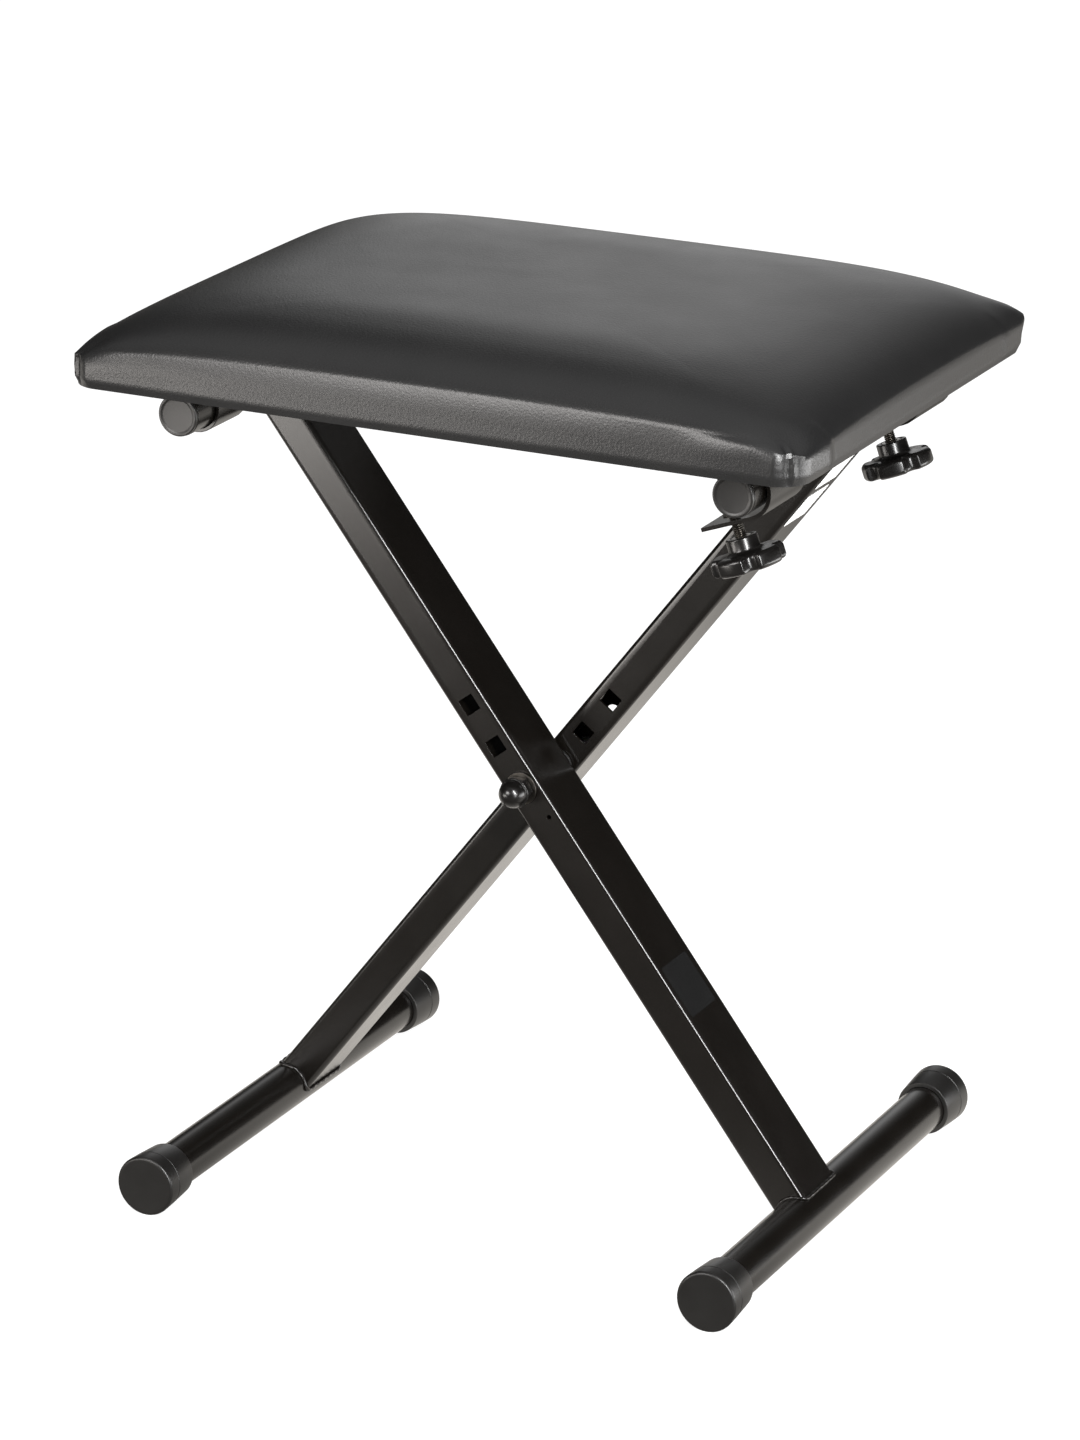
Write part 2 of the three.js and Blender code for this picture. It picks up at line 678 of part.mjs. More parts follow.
function pivotPieces() {
  const pivot = new THREE.Group();
  pivot.position.set(frameShift, 0, pivotHeight);
  const washerPlace = legOuterFace + clearance + washerThickness / 2;
  const nutFace = legOuterFace + washerThickness + 2 * clearance;
  place(pivot, 'pivot_bolt', pivotBolt(), zincSteel);
  place(pivot, 'pivot_rear_washer', pivotWasher(washerRadius, washerThickness), zincSteel, 0, washerPlace);
  place(pivot, 'pivot_front_washer', pivotWasher(washerRadius, washerThickness), zincSteel, 0, -washerPlace);
  const spacerThickness = legSpacing - 2 * clearance;
  place(pivot, 'pivot_spacer', pivotWasher(spacerRadius, spacerThickness), satinPlastic);
  place(pivot, 'pivot_cap_nut', capNut(), zincSteel, 0, -nutFace);
  return pivot;
}

function clamp(name, y) {
  const group = new THREE.Group();
  group.position.set(rightTubeX, y, crossTubeHeight);
  place(group, `${name}_clamp_strap`, clampStrap(), blackPaint);
  const tilted = new THREE.Group();
  tilted.rotation.y = -tabTilt;
  place(tilted, `${name}_knob`, knobBody(), glossPlastic, -studOffset);
  place(tilted, `${name}_knob_insert`, knobInsert(), zincSteel, -studOffset);
  place(tilted, `${name}_knob_stud`, knobStud(), zincSteel, -studOffset);
  place(tilted, `${name}_stud_retainer`, studRetainer(), zincSteel, -studOffset);
  group.add(tilted);
  return group;
}

function hinge(name, y) {
  const group = new THREE.Group();
  group.position.set(leftTubeX, y, crossTubeHeight);
  place(group, `${name}_hinge_saddle`, hingeSaddle(), blackPaint);
  place(group, `${name}_hinge_plate`, hingePlate(), blackPaint);
  const headFace = crossTubeRadius - bracketThickness - clearance;
  place(group, `${name}_hinge_outer_screw`, hingeScrew(), zincSteel, -screwOffset, 0, headFace);
  place(group, `${name}_hinge_inner_screw`, hingeScrew(), zincSteel, screwOffset, 0, headFace);
  return group;
}

function seat() {
  const group = new THREE.Group();
  group.position.set(0, seatBackShift, seatBottom);
  place(group, 'seat_cover', seatCover(), vinyl);
  place(group, 'seat_foam', seatFoam(), foam);
  place(group, 'seat_board', seatBoard(), plywood);
  place(group, 'dust_cover', dustCover(), feltCloth);
  for (const [name, y] of Object.entries(bracketPlaces)) {
    place(group, `${name}_tee_nut`, teeNut(), zincSteel, rightTubeX - leafHoleOffset, y - seatBackShift, 0);
  }
  return group;
}

const bench = new THREE.Group();
bench.name = 'folding_keyboard_bench';
const legMiddle = (legSpacing + legDepth) / 2;
bench.add(seat());
bench.add(legFrame('front', 'left', -legLean, -legMiddle, leftTubeX, frameShift + footHalfSpan));
bench.add(legFrame('rear', 'right', legLean, legMiddle, rightTubeX, frameShift - footHalfSpan));
bench.add(pivotPieces());
for (const [name, y] of Object.entries(bracketPlaces)) {
  bench.add(clamp(name, y));
  bench.add(hinge(name, y));
}

export default bench;
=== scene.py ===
import json
import math

import bmesh
import bpy
from mathutils import Matrix, Vector

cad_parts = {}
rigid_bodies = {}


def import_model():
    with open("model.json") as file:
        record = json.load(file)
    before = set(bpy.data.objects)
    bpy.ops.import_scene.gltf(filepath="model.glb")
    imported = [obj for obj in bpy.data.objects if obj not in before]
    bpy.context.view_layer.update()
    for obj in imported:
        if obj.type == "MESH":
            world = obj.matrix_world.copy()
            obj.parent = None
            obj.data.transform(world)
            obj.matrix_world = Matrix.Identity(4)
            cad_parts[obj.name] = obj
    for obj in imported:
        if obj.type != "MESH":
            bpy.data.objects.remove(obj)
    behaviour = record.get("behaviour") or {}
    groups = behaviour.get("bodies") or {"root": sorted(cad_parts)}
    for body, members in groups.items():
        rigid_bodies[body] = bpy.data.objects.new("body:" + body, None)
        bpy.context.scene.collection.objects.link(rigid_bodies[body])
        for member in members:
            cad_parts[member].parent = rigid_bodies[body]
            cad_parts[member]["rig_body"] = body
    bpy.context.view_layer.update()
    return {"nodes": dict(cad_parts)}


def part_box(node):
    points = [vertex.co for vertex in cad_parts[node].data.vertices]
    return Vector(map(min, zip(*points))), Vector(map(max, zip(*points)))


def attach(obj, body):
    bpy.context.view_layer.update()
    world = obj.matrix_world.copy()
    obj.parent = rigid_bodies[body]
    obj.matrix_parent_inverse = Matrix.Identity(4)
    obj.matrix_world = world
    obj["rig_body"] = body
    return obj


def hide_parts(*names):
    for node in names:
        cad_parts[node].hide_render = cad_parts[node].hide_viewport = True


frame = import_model()


# The two legs: rectangular steel tube in black paint, cut round the tubes they are welded to.
# Each is a merged copy of its CAD node with a small round on every edge.
MM = 0.001
SHARP_ANGLE = 32


class Pattern:
    """A value or colour inside a finish, so that its maths reads as plain sums."""

    def __init__(self, tree, socket=None):
        self.tree = tree
        self.socket = socket

    def node(self, kind, settings=None, inputs=None, output=0):
        made = self.tree.nodes.new("ShaderNode" + kind)
        for name, value in (settings or {}).items():
            setattr(made, name, value)
        for place, value in (inputs or {}).items():
            self.feed(made.inputs[place], value)
        return Pattern(self.tree, made.outputs[output])

    def feed(self, place, value):
        if isinstance(value, Pattern):
            self.tree.links.new(value.socket, place)
        else:
            place.default_value = value

    def maths(self, operation, first, second=0.0):
        return self.node("Math", {"operation": operation}, {0: first, 1: second})

    def __add__(self, other):
        return self.maths("ADD", self, other)

    def __sub__(self, other):
        return self.maths("SUBTRACT", self, other)

    def __rsub__(self, other):
        return self.maths("SUBTRACT", other, self)

    def __mul__(self, other):
        return self.maths("MULTIPLY", self, other)

    def __truediv__(self, other):
        return self.maths("DIVIDE", self, other)

    def __rtruediv__(self, other):
        return self.maths("DIVIDE", other, self)

    __radd__ = __add__
    __rmul__ = __mul__

    def between(self, low, high):
        """0 up to low, 1 from high on, and a soft step between them."""
        inputs = {"Value": self, "From Min": low, "From Max": high}
        return self.node("MapRange", {"interpolation_type": "SMOOTHSTEP"}, inputs)

    def blend(self, first, second):
        """The first colour where this is 0 and the second where it is 1."""
        inputs = {"Factor": self, 6: first, 7: second}
        return self.node("Mix", {"data_type": "RGBA"}, inputs, output=2)

    def part(self, axis):
        return self.node("SeparateXYZ", inputs={0: self}, output="XYZ".index(axis))

    def place(self, turn=(0, 0, 0), stretch=(1, 1, 1), shift=(0, 0, 0)):
        """Where a point of the piece is, turned and stretched for a pattern that has a grain."""
        coordinate = self.node("TexCoord", output="Object")
        inputs = {"Vector": coordinate, "Location": shift, "Rotation": turn, "Scale": stretch}
        return self.node("Mapping", inputs=inputs)

    def noise(self, scale, detail=2.0, place=None):
        inputs = {"Vector": place or self.place(), "Scale": scale, "Detail": detail}
        return self.node("TexNoise", inputs=inputs)

    def cells(self, scale, place=None, feature="F1"):
        inputs = {"Vector": place or self.place(), "Scale": scale}
        return self.node("TexVoronoi", {"feature": feature}, inputs)

    def bump(self, depth, strength=1.0):
        """The surface relief of this height, whose full depth is in millimetres."""
        inputs = {"Height": self, "Distance": depth * MM, "Strength": strength}
        return self.node("Bump", inputs=inputs)


def new_finish(name, **fixed):
    """A finish with these fixed values. What varies over the piece is drawn with the pattern."""
    material = bpy.data.materials.new(name)
    material.use_nodes = True
    shader = material.node_tree.nodes["Principled BSDF"]
    for socket, value in fixed.items():
        shader.inputs[socket.replace("_", " ")].default_value = value
    return material, shader.inputs, Pattern(material.node_tree)


def painted_steel():
    material, shader, draw = new_finish("black_paint")
    cloud = draw.noise(45, 3)
    deep, worn = (0.0024, 0.0019, 0.0014, 1), (0.0042, 0.0034, 0.0027, 1)
    draw.feed(shader["Base Color"], cloud.blend(deep, worn))
    draw.feed(shader["Roughness"], 0.2 + 0.07 * cloud)
    draw.feed(shader["Normal"], draw.noise(180, 2).bump(0.01, 0.06))
    return material


def copy_of(name, *nodes):
    """One merged mesh from copies of CAD nodes, with flat places made whole faces again."""
    shape = bmesh.new()
    for node in nodes:
        shape.from_mesh(frame["nodes"][node].data)
    bmesh.ops.remove_doubles(shape, verts=shape.verts, dist=0.01 * MM)
    nearly_flat = math.radians(0.5)
    bmesh.ops.dissolve_limit(
        shape, angle_limit=nearly_flat, verts=shape.verts, edges=shape.edges)
    return piece_from(name, shape)


def piece_from(name, shape):
    """A new piece at the origin with this shape for its mesh."""
    mesh = bpy.data.meshes.new(name)
    shape.to_mesh(mesh)
    shape.free()
    piece = bpy.data.objects.new(name, mesh)
    bpy.context.scene.collection.objects.link(piece)
    return piece


def round_edges(piece, width):
    """Breaks every sharp edge of a piece by a small width in millimetres."""
    bevel = piece.modifiers.new("edges", "BEVEL")
    bevel.width = width * MM
    bevel.segments = 2
    bevel.limit_method = "ANGLE"
    bevel.angle_limit = math.radians(SHARP_ANGLE)
    bevel.harden_normals = True


def finish_piece(piece, material, slot, *nodes, body=None, sharp=SHARP_ANGLE):
    """Gives a piece its material and smooth shading up to a sharp angle in degrees, and lets it
    stand for its CAD nodes or ride on a body."""
    piece.data.materials.clear()
    piece.data.materials.append(material)
    piece.data.shade_smooth()
    piece.data.set_sharp_from_angle(angle=math.radians(sharp))
    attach(piece, body or frame["nodes"][nodes[0]]["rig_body"])
    if nodes:
        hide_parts(*nodes)
    return piece


black_paint = painted_steel()
for leg in ("front_leg", "rear_leg"):
    leg_tube = copy_of(leg + "_tube", leg)
    round_edges(leg_tube, 0.25)
    finish_piece(leg_tube, black_paint, "black_paint", leg)


# The cross tubes and the foot tubes: round steel tube in the same paint, sawn off square.
# Each is turned afresh with many sides, so that its outline is round.
ROUND_SIDES = 96
TUBE_WALL = 1.5


def join_loops(shape, loops):
    """Closes the skin between each loop of points and the next."""
    for one, other in zip(loops, loops[1:]):
        for i in range(len(one)):
            j = (i + 1) % len(one)
            shape.faces.new((one[i], one[j], other[j], other[i]))


def piece_in_mm(name, shape):
    """A new piece from a shape in millimetres, with its faces turned outwards."""
    bmesh.ops.scale(shape, vec=(MM, MM, MM), verts=shape.verts)
    bmesh.ops.recalc_face_normals(shape, faces=shape.faces)
    return piece_from(name, shape)


def loft_rings(name, rings, place, sides=ROUND_SIDES, looped=False):
    """A closed piece round the Z axis of place. Each ring is (radius, height) in millimetres, and
    a radius may be a function of the angle. The ends close at their middles, or on each other."""
    shape = bmesh.new()
    loops = []
    for radius, height in rings:
        loop = []
        for i in range(sides):
            angle = math.tau * i / sides
            reach = radius(angle) if callable(radius) else radius
            point = (reach * math.cos(angle), reach * math.sin(angle), height)
            loop.append(shape.verts.new(point))
        loops.append(loop)
    join_loops(shape, loops + loops[:1] if looped else loops)
    if not looped:
        for loop, height in ((loops[0], rings[0][1]), (loops[-1], rings[-1][1])):
            middle = shape.verts.new((0, 0, height))
            for i in range(sides):
                shape.faces.new((loop[i], loop[(i + 1) % sides], middle))
    bmesh.ops.transform(shape, matrix=place, verts=shape.verts)
    return piece_in_mm(name, shape)


def end_on(x, y, z, way):
    """A place whose Z axis runs along Y: way 1 towards the back of the seat, -1 to the front."""
    return Matrix.Translation((x, y, z)) @ Matrix.Rotation(-way * math.pi / 2, 4, "X")


def tube_middle(node):
    """The middle of a CAD node's box and half its size, in millimetres."""
    low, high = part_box(node)
    return (low + high) / 2 / MM, (high - low) / 2 / MM


for tube in ("left_cross_tube", "right_cross_tube", "left_foot_tube", "right_foot_tube"):
    middle, half = tube_middle(tube)
    inside = half.x - TUBE_WALL
    rings = [(half.x, -half.y), (half.x, half.y), (inside, half.y), (inside, -half.y)]
    round_tube = loft_rings(tube + "_steel", rings, end_on(*middle, 1), looped=True)
    round_edges(round_tube, 0.2)
    finish_piece(round_tube, black_paint, "black_paint", tube)


# The weld beads where the legs meet the tubes: laid by hand and painted over with the frame.
# Each is a lumpy rope of metal swept once round the leg along the line where it meets the tube.
LEG_HALF_WIDTH, LEG_HALF_DEPTH, LEG_CORNER = 10, 19, 2.5
LEG_MIDDLE_Y = 20
LEAN = math.radians(37.336)
PIVOT = Vector((5.5, 0, 223.8466))


def leg_outline(count):
    """Points round a leg's section, with their outward ways: so many on each deep side."""
    corner_steps = 6
    reach_x, reach_y = LEG_HALF_WIDTH - LEG_CORNER, LEG_HALF_DEPTH - LEG_CORNER
    signs = ((1, 1), (-1, 1), (-1, -1), (1, -1))
    points = []
    for quarter, (sign_x, sign_y) in enumerate(signs):
        corner = Vector((sign_x * reach_x, sign_y * reach_y))
        for i in range(corner_steps + 1):
            angle = math.pi / 2 * (quarter + i / corner_steps)
            way = Vector((math.cos(angle), math.sin(angle)))
            points.append((corner + way * LEG_CORNER, way))
        flat = count if quarter % 2 else round(count * 0.4)
        next_x, next_y = signs[(quarter + 1) % 4]
        end = Vector((next_x * reach_x, next_y * reach_y)) + way * LEG_CORNER
        start = points[-1][0]
        points += [(start.lerp(end, i / flat), way) for i in range(1, flat)]
    return points


def weld_rope(name, place, tube_radius, reach, seed):
    """A bead round the leg where it meets a tube that lies across it at this reach. The seed
    sets where its lumps lie."""
    side = 1 if reach > 0 else -1
    sides, steps = 12, 60
    thickness, lump = 1.2, 0.16
    shape = bmesh.new()
    loops = []
    for step, (point, way) in enumerate(leg_outline(steps)):
        drop = math.sqrt(tube_radius ** 2 - point.x ** 2)
        ripple = math.sin(0.6 * step + seed) + 0.6 * math.sin(0.23 * step + 2.1 * seed)
        girth = thickness + lump * ripple
        middle = Vector((point.x, point.y, reach - side * (drop + 0.35)))
        outward = Vector((way.x, way.y, 0))
        along = Vector((0, 0, -side))
        loop = []
        for i in range(sides):
            angle = math.tau * i / sides
            spread = outward * math.cos(angle) * girth * 1.1 + along * math.sin(angle) * girth
            loop.append(shape.verts.new(place @ (middle + outward * 0.3 + spread)))
        loops.append(loop)
    join_loops(shape, loops + loops[:1])
    return piece_in_mm(name, shape)


for seed, (leg, way) in enumerate((("front_leg", -1), ("rear_leg", 1))):
    leg_middle = Matrix.Translation(PIVOT + Vector((0, LEG_MIDDLE_Y * way, 0)))
    place = leg_middle @ Matrix.Rotation(way * LEAN, 4, "Y")
    for end, radius, reach in (("top", 11, 248.98), ("foot", 12, -261.34)):
        node = f"{leg}_{end}_weld"
        bead = weld_rope(node + "_bead", place, radius, reach, seed + 3 * radius)
        finish_piece(bead, black_paint, "black_paint", node, sharp=180)


# The four foot caps: satin plastic sleeves with a stepped disc end, pushed over the foot tubes.
# Turned in one piece, with a groove behind the disc and a flat face.
def moulded_plastic():
    material, shader, draw = new_finish("satin_plastic")
    cloud = draw.noise(90, 3)
    deep, dull = (0.004, 0.0037, 0.0034, 1), (0.007, 0.0065, 0.006, 1)
    draw.feed(shader["Base Color"], cloud.blend(deep, dull))
    draw.feed(shader["Roughness"], 0.32 + 0.1 * cloud)
    draw.feed(shader["Normal"], draw.noise(1500, 2).bump(0.01, 0.5))
    return material


def arc(middle, radius, start, stop, steps):
    """Points of (radius, height) round a fillet, from one angle in degrees to another."""
    points = []
    for i in range(steps + 1):
        angle = math.radians(start + (stop - start) * i / steps)
        across, up = radius * math.cos(angle), radius * math.sin(angle)
        points.append((middle[0] + across, middle[1] + up))
    return points


satin_plastic = moulded_plastic()
CAP_RINGS = [
    (12.3, -3), (12.3, -25.5), (14.2, -25.5), *arc((14.2, -25.1), 0.4, -60, 0, 2),
    (15.75, -9.9), (15.5, -9.6), (15.5, -9.3), (15.8, -9),
    *arc((14.6, -1.6), 1.6, 0, 90, 8), (13.8, 0), (5, 0), (0.5, 0),
]
CAP_SLACK = 16.06 / 16.2


def push_on(kind, rings):
    """Turns one moulding for each end of the left and right tubes, its face on its CAD node's."""
    for side in ("left", "right"):
        for end, way in (("near", -1), ("far", 1)):
            node = f"{end}_{side}_{kind}"
            middle, half = tube_middle(node)
            place = end_on(middle.x, middle.y + way * half.y, middle.z, way)
            moulding = loft_rings(node + "_moulding", rings, place)
            finish_piece(moulding, satin_plastic, "satin_plastic", node, sharp=40)


push_on("foot_cap", [(radius * CAP_SLACK, height) for radius, height in CAP_RINGS])


# The four tube plugs: satin plastic discs pushed into the ends of the cross tubes.
# Turned, with a shallow dished face inside a rounded rim.
PLUG_RINGS = [
    (9.1, -14.2), (9.1, -2), (10.75, -2), *arc((10.05, -0.7), 0.7, 0, 90, 5),
    (9.2, 0), (8.7, -0.25), (8.2, -0.3),
]
push_on("tube_plug", PLUG_RINGS)


# The pivot: a zinc plated bolt, one zinc plated and one blackened washer, and a plastic spacer
# between the legs. All are turned round one axis that runs from the back to the front.
def zinc_plate():
    material, shader, draw = new_finish("zinc_steel", Metallic=1.0)
    streak = draw.noise(500, 3, draw.place(stretch=(1, 0.15, 1)))
    draw.feed(shader["Base Color"], streak.blend((0.62, 0.61, 0.58, 1), (0.78, 0.77, 0.74, 1)))
    draw.feed(shader["Roughness"], 0.24 + 0.16 * streak)
    draw.feed(shader["Normal"], streak.bump(0.01, 0.4))
    return material


def blackened_steel():
    material, shader, draw = new_finish("blackened_steel", Metallic=1.0)
    streak = draw.noise(500, 3, draw.place(stretch=(1, 0.15, 1)))
    draw.feed(shader["Base Color"], streak.blend((0.06, 0.055, 0.05, 1), (0.13, 0.12, 0.105, 1)))
    draw.feed(shader["Roughness"], 0.26 + 0.14 * streak)
    return material


def hexagon(flats):
    """The radius of a hexagon of this width over its flats, at an angle."""
    def reach(angle):
        turn = (angle + math.pi / 6) % (math.pi / 3) - math.pi / 6
        return flats / 2 / math.cos(turn - math.copysign(math.pi / 6, turn))
    return reach


def least(first, second):
    """The smaller of two radii at an angle, as where a chamfer is turned on a hexagon."""
    def reach(angle):
        one = first(angle) if callable(first) else first
        other = second(angle) if callable(second) else second
        return min(one, other)
    return reach


BOLT_HOLE = 4.3
spanner_flats = hexagon(13)
zinc_steel = zinc_plate()
dark_steel = blackened_steel()
bolt_rings = [
    (3.4, -51.2), (4, -50.6), (4, 41.2), (least(6.5, spanner_flats), 41.2), (spanner_flats, 41.6),
    (spanner_flats, 45.6), (least(6.9, spanner_flats), 46.2), (6.2, 46.5), (4.6, 46.5), (4.2, 46.1),
]
pivot = end_on(*PIVOT, 1)
bolt = loft_rings("pivot_bolt_steel", bolt_rings, pivot)
finish_piece(bolt, zinc_steel, "zinc_steel", "pivot_bolt", sharp=30)
for node, material, slot in (
    ("pivot_rear_washer", zinc_steel, "zinc_steel"),
    ("pivot_front_washer", dark_steel, "zinc_steel"),
    ("pivot_spacer", satin_plastic, "satin_plastic"),
):
    middle, half = tube_middle(node)
    low, high = middle.y - half.y, middle.y + half.y
    rings = [(BOLT_HOLE, low), (half.x, low), (half.x, high), (BOLT_HOLE, high)]
    washer = loft_rings(node + "_ring", rings, pivot, looped=True)
    round_edges(washer, 0.25)
    finish_piece(washer, material, slot, node)


# The cap nut on the pivot: a hexagon with a turned rim and a dome, in gloss black.
# One closed piece round the bolt's axis, with its blind bore at the back.
def gloss_black():
    material, shader, draw = new_finish("gloss_plastic")
    cloud = draw.noise(120, 2)
    deep, dull = (0.0025, 0.0022, 0.002, 1), (0.004, 0.0036, 0.0033, 1)
    draw.feed(shader["Base Color"], cloud.blend(deep, dull))
    draw.feed(shader["Roughness"], 0.22 + 0.08 * cloud)
    draw.feed(shader["Normal"], draw.noise(400, 2).bump(0.008, 0.15))
    return material


gloss_plastic = gloss_black()
nut_rings = [
    (BOLT_HOLE, 11), (BOLT_HOLE, 0), (least(6.7, spanner_flats), 0), (spanner_flats, 0.5),
    (spanner_flats, 6), (least(6.8, spanner_flats), 6.5), (7.6, 6.5),
    *arc((7.5, 7.2), 0.5, -80, 80, 8), (7.25, 7.95), *arc((0, 8.8), 7.2, 0, 88, 20),
]
NUT_BACK_Y = -41.2
nut = loft_rings("pivot_cap_nut_dome", nut_rings, end_on(PIVOT.x, NUT_BACK_Y, PIVOT.z, -1))
finish_piece(nut, gloss_plastic, "zinc_steel", "pivot_cap_nut", sharp=30)


# The hinges on the left cross tube: bent steel saddles, flat plates and cross recess screws.
# Saddles and plates are copies of the CAD nodes with broken edges; the screws are turned.
for end in ("near", "far"):
    for kind in ("hinge_saddle", "hinge_plate"):
        node = f"{end}_{kind}"
        bracket = copy_of(node + "_steel", node)
        round_edges(bracket, 0.4)
        finish_piece(bracket, black_paint, "black_paint", node)


def cross_recess(angle):
    """The radius of the cross in a screw's head, at an angle."""
    turn = abs((angle + math.pi / 4) % (math.pi / 2) - math.pi / 4)
    return max(0.45 / max(math.sin(turn), 0.2), 0.7)


SCREW_HEAD = 2.4
SCREW_RINGS = [
    (0.4, 15.4), (2, 13.5), (2, 0), (4, 0), (4, -0.9), *arc((2.6, -1), 1.4, 0, -80, 6),
    (least(2.3, cross_recess), -2.42), (least(1.6, cross_recess), -1.1),
]
for end in ("near", "far"):
    for side in ("outer", "inner"):
        node = f"{end}_hinge_{side}_screw"
        middle, half = tube_middle(node)
        place = Matrix.Translation((middle.x, middle.y, middle.z - half.z + SCREW_HEAD))
        screw = loft_rings(node + "_steel", SCREW_RINGS, place, sides=48)
        finish_piece(screw, zinc_steel, "zinc_steel", node, sharp=30)


# The clamps on the right cross tube: sprung straps bent from flat steel, and push-on retainers.
# The straps are copies of the CAD nodes with broken edges; the retainers are turned.
CLAMP = Vector((156.5, 0, 421.8))
TAB_TILT = math.radians(-20)
STUD_FROM_TUBE = 19.7


def stud_axis(middle_y):
    """The axis of a knob stud, its zero level with the cross tube's axis."""
    turned = Matrix.Rotation(TAB_TILT, 4, "Y") @ Matrix.Translation((-STUD_FROM_TUBE, 0, 0))
    return Matrix.Translation((CLAMP.x, middle_y, CLAMP.z)) @ turned


for end in ("near", "far"):
    node = f"{end}_clamp_strap"
    strap = copy_of(node + "_steel", node)
    round_edges(strap, 0.4)
    finish_piece(strap, black_paint, "black_paint", node)
    node = f"{end}_stud_retainer"
    middle, half = tube_middle(node)
    rings = [(3.3, -13.13), (5.6, -13.13), (5.6, -12.7), (4.6, -12.33), (3.3, -12.33)]
    retainer = loft_rings(node + "_steel", rings, stud_axis(middle.y), sides=64, looped=True)
    finish_piece(retainer, dark_steel, "zinc_steel", node, sharp=30)


# The clamp knobs: gloss plastic with five lobes and a hub, on a metal insert and a threaded stud.
# The lobes are one outline drawn in at the notches; the thread is a rolled M6 with a 1 mm pitch.
LOBES, LOBE_RADIUS = 5, 18.6
NOTCH_RADIUS, NOTCH_REACH = 4.0, 19.1
LIP_TURN, LIP_SPREAD, LIP_ROUND = 0.215, 0.05, 0.55


def lobed(shrink):
    """The knob's outline at an angle: lobes with round notches and softened lips between."""
    def reach(angle):
        turn = (angle + math.pi / LOBES) % (math.tau / LOBES) - math.pi / LOBES
        radius = LOBE_RADIUS
        inside = NOTCH_RADIUS ** 2 - (NOTCH_REACH * math.sin(turn)) ** 2
        if inside > 0:
            notch = NOTCH_REACH * math.cos(turn) - math.sqrt(inside)
            radius = min(radius, notch)
        lip = abs(abs(turn) - LIP_TURN)
        radius -= LIP_ROUND * max(0.0, 1 - lip / LIP_SPREAD) ** 2
        return radius - shrink
    return reach


def knob_rings():
    """The knob's section from the middle of its underside, over its lobes and hub, to its bore."""
    top, bottom = -32.43, -41.13
    under = [(lobed(5), bottom + 0.5), (lobed(4.2), bottom + 0.1), (lobed(3.2), bottom)]
    lower_round, upper_round = 2.4, 2.6
    lower, upper = [], []
    for degrees in range(0, 91, 15):
        across, up = math.cos(math.radians(degrees)), math.sin(math.radians(degrees))
        if degrees:
            lower.append((lobed(lower_round * (1 - up)), bottom + lower_round * (1 - across)))
        upper.append((lobed(upper_round * (1 - across)), top - upper_round * (1 - up)))
    dish = [(lobed(5.2), top - 0.1), (9.6, top + 0.1)]
    hub = [(8.5, top + 0.8), (8.1, top + 1.8), *arc((7.3, -25.63), 0.7, 0, 90, 5), (5.6, -24.93)]
    bore = [(5.3, -25.2), (5.3, -38.23)]
    return [(1.0, bottom + 0.7), (6.0, bottom + 0.6), *under, *lower, *upper, *dish, *hub, *bore]


def threaded_stud(name, place, low, high):
    """A stud with a real helical thread between two heights, of 1 mm pitch."""
    radius, depth, point = 3.0, 0.55, 0.5
    shape = bmesh.new()
    sides, step = 24, 0.125
    count = round((high - low) / step)
    loops = []
    for row in range(count + 1):
        height = low + (high - low) * row / count
        taper = min(1.0, (high - height) / 0.8 + 0.25, (height - low) / 0.8 + 0.25)
        loop = []
        for i in range(sides):
            angle = math.tau * i / sides
            turn = (height - i / sides) % 1.0
            ridge = min(1.0, 2.6 * abs(turn - 0.5))
            reach = radius - depth * (1 - ridge) - point * (1 - taper)
            across, along = reach * math.cos(angle), reach * math.sin(angle)
            loop.append(shape.verts.new((across, along, height)))
        loops.append(loop)
    join_loops(shape, loops)
    shape.faces.new(loops[0])
    shape.faces.new(loops[-1])
    bmesh.ops.transform(shape, matrix=place, verts=shape.verts)
    return piece_in_mm(name, shape)


KNOB_TURN = {"near": 12, "far": 30}
for end in ("near", "far"):
    middle, half = tube_middle(f"{end}_stud_retainer")
    axis = stud_axis(middle.y)
    turned = axis @ Matrix.Rotation(math.radians(KNOB_TURN[end]), 4, "Z")
    knob = loft_rings(f"{end}_knob_moulding", knob_rings(), turned, sides=240)
    finish_piece(knob, gloss_plastic, "gloss_plastic", f"{end}_knob", sharp=50)
    insert = [(3.3, -37.93), (5, -37.93), (5, -25.2), (4.7, -24.93), (3.6, -24.93), (3.3, -25.2)]
    sleeve = loft_rings(f"{end}_knob_insert_steel", insert, axis, sides=64, looped=True)
    finish_piece(sleeve, zinc_steel, "zinc_steel", f"{end}_knob_insert", sharp=30)
    stud = threaded_stud(f"{end}_knob_stud_steel", axis, -37.4, 10.55)
    finish_piece(stud, dark_steel, "zinc_steel", f"{end}_knob_stud", sharp=60)


# The seat board and its tee nuts: 12 mm plywood with zinc plated nuts pressed in from above.
# The CAD nodes are shown as they are, in materials of their own.
def birch_plywood():
    material, shader, draw = new_finish("plywood")
    rings = draw.noise(18, 4, draw.place(stretch=(1, 9, 1)))
    veneer = rings.blend((0.60, 0.42, 0.25, 1), (0.74, 0.57, 0.38, 1))
    plies = draw.node("Math", {"operation": "SINE"}, {0: draw.place().part("Z") * 2600})
    glue_line = plies.between(-0.2, 0.2)
    draw.feed(shader["Base Color"], (glue_line * 0.35).blend(veneer, (0.35, 0.22, 0.12, 1)))
    draw.feed(shader["Roughness"], 0.55 + 0.2 * rings)
    draw.feed(shader["Normal"], rings.bump(0.1, 0.5))
    return material


plywood = birch_plywood()
board_finishes = {"seat_board": plywood, "near_tee_nut": zinc_steel, "far_tee_nut": zinc_steel}
for node, material in board_finishes.items():
    frame["nodes"][node].data.materials.clear()
    frame["nodes"][node].data.materials.append(material)


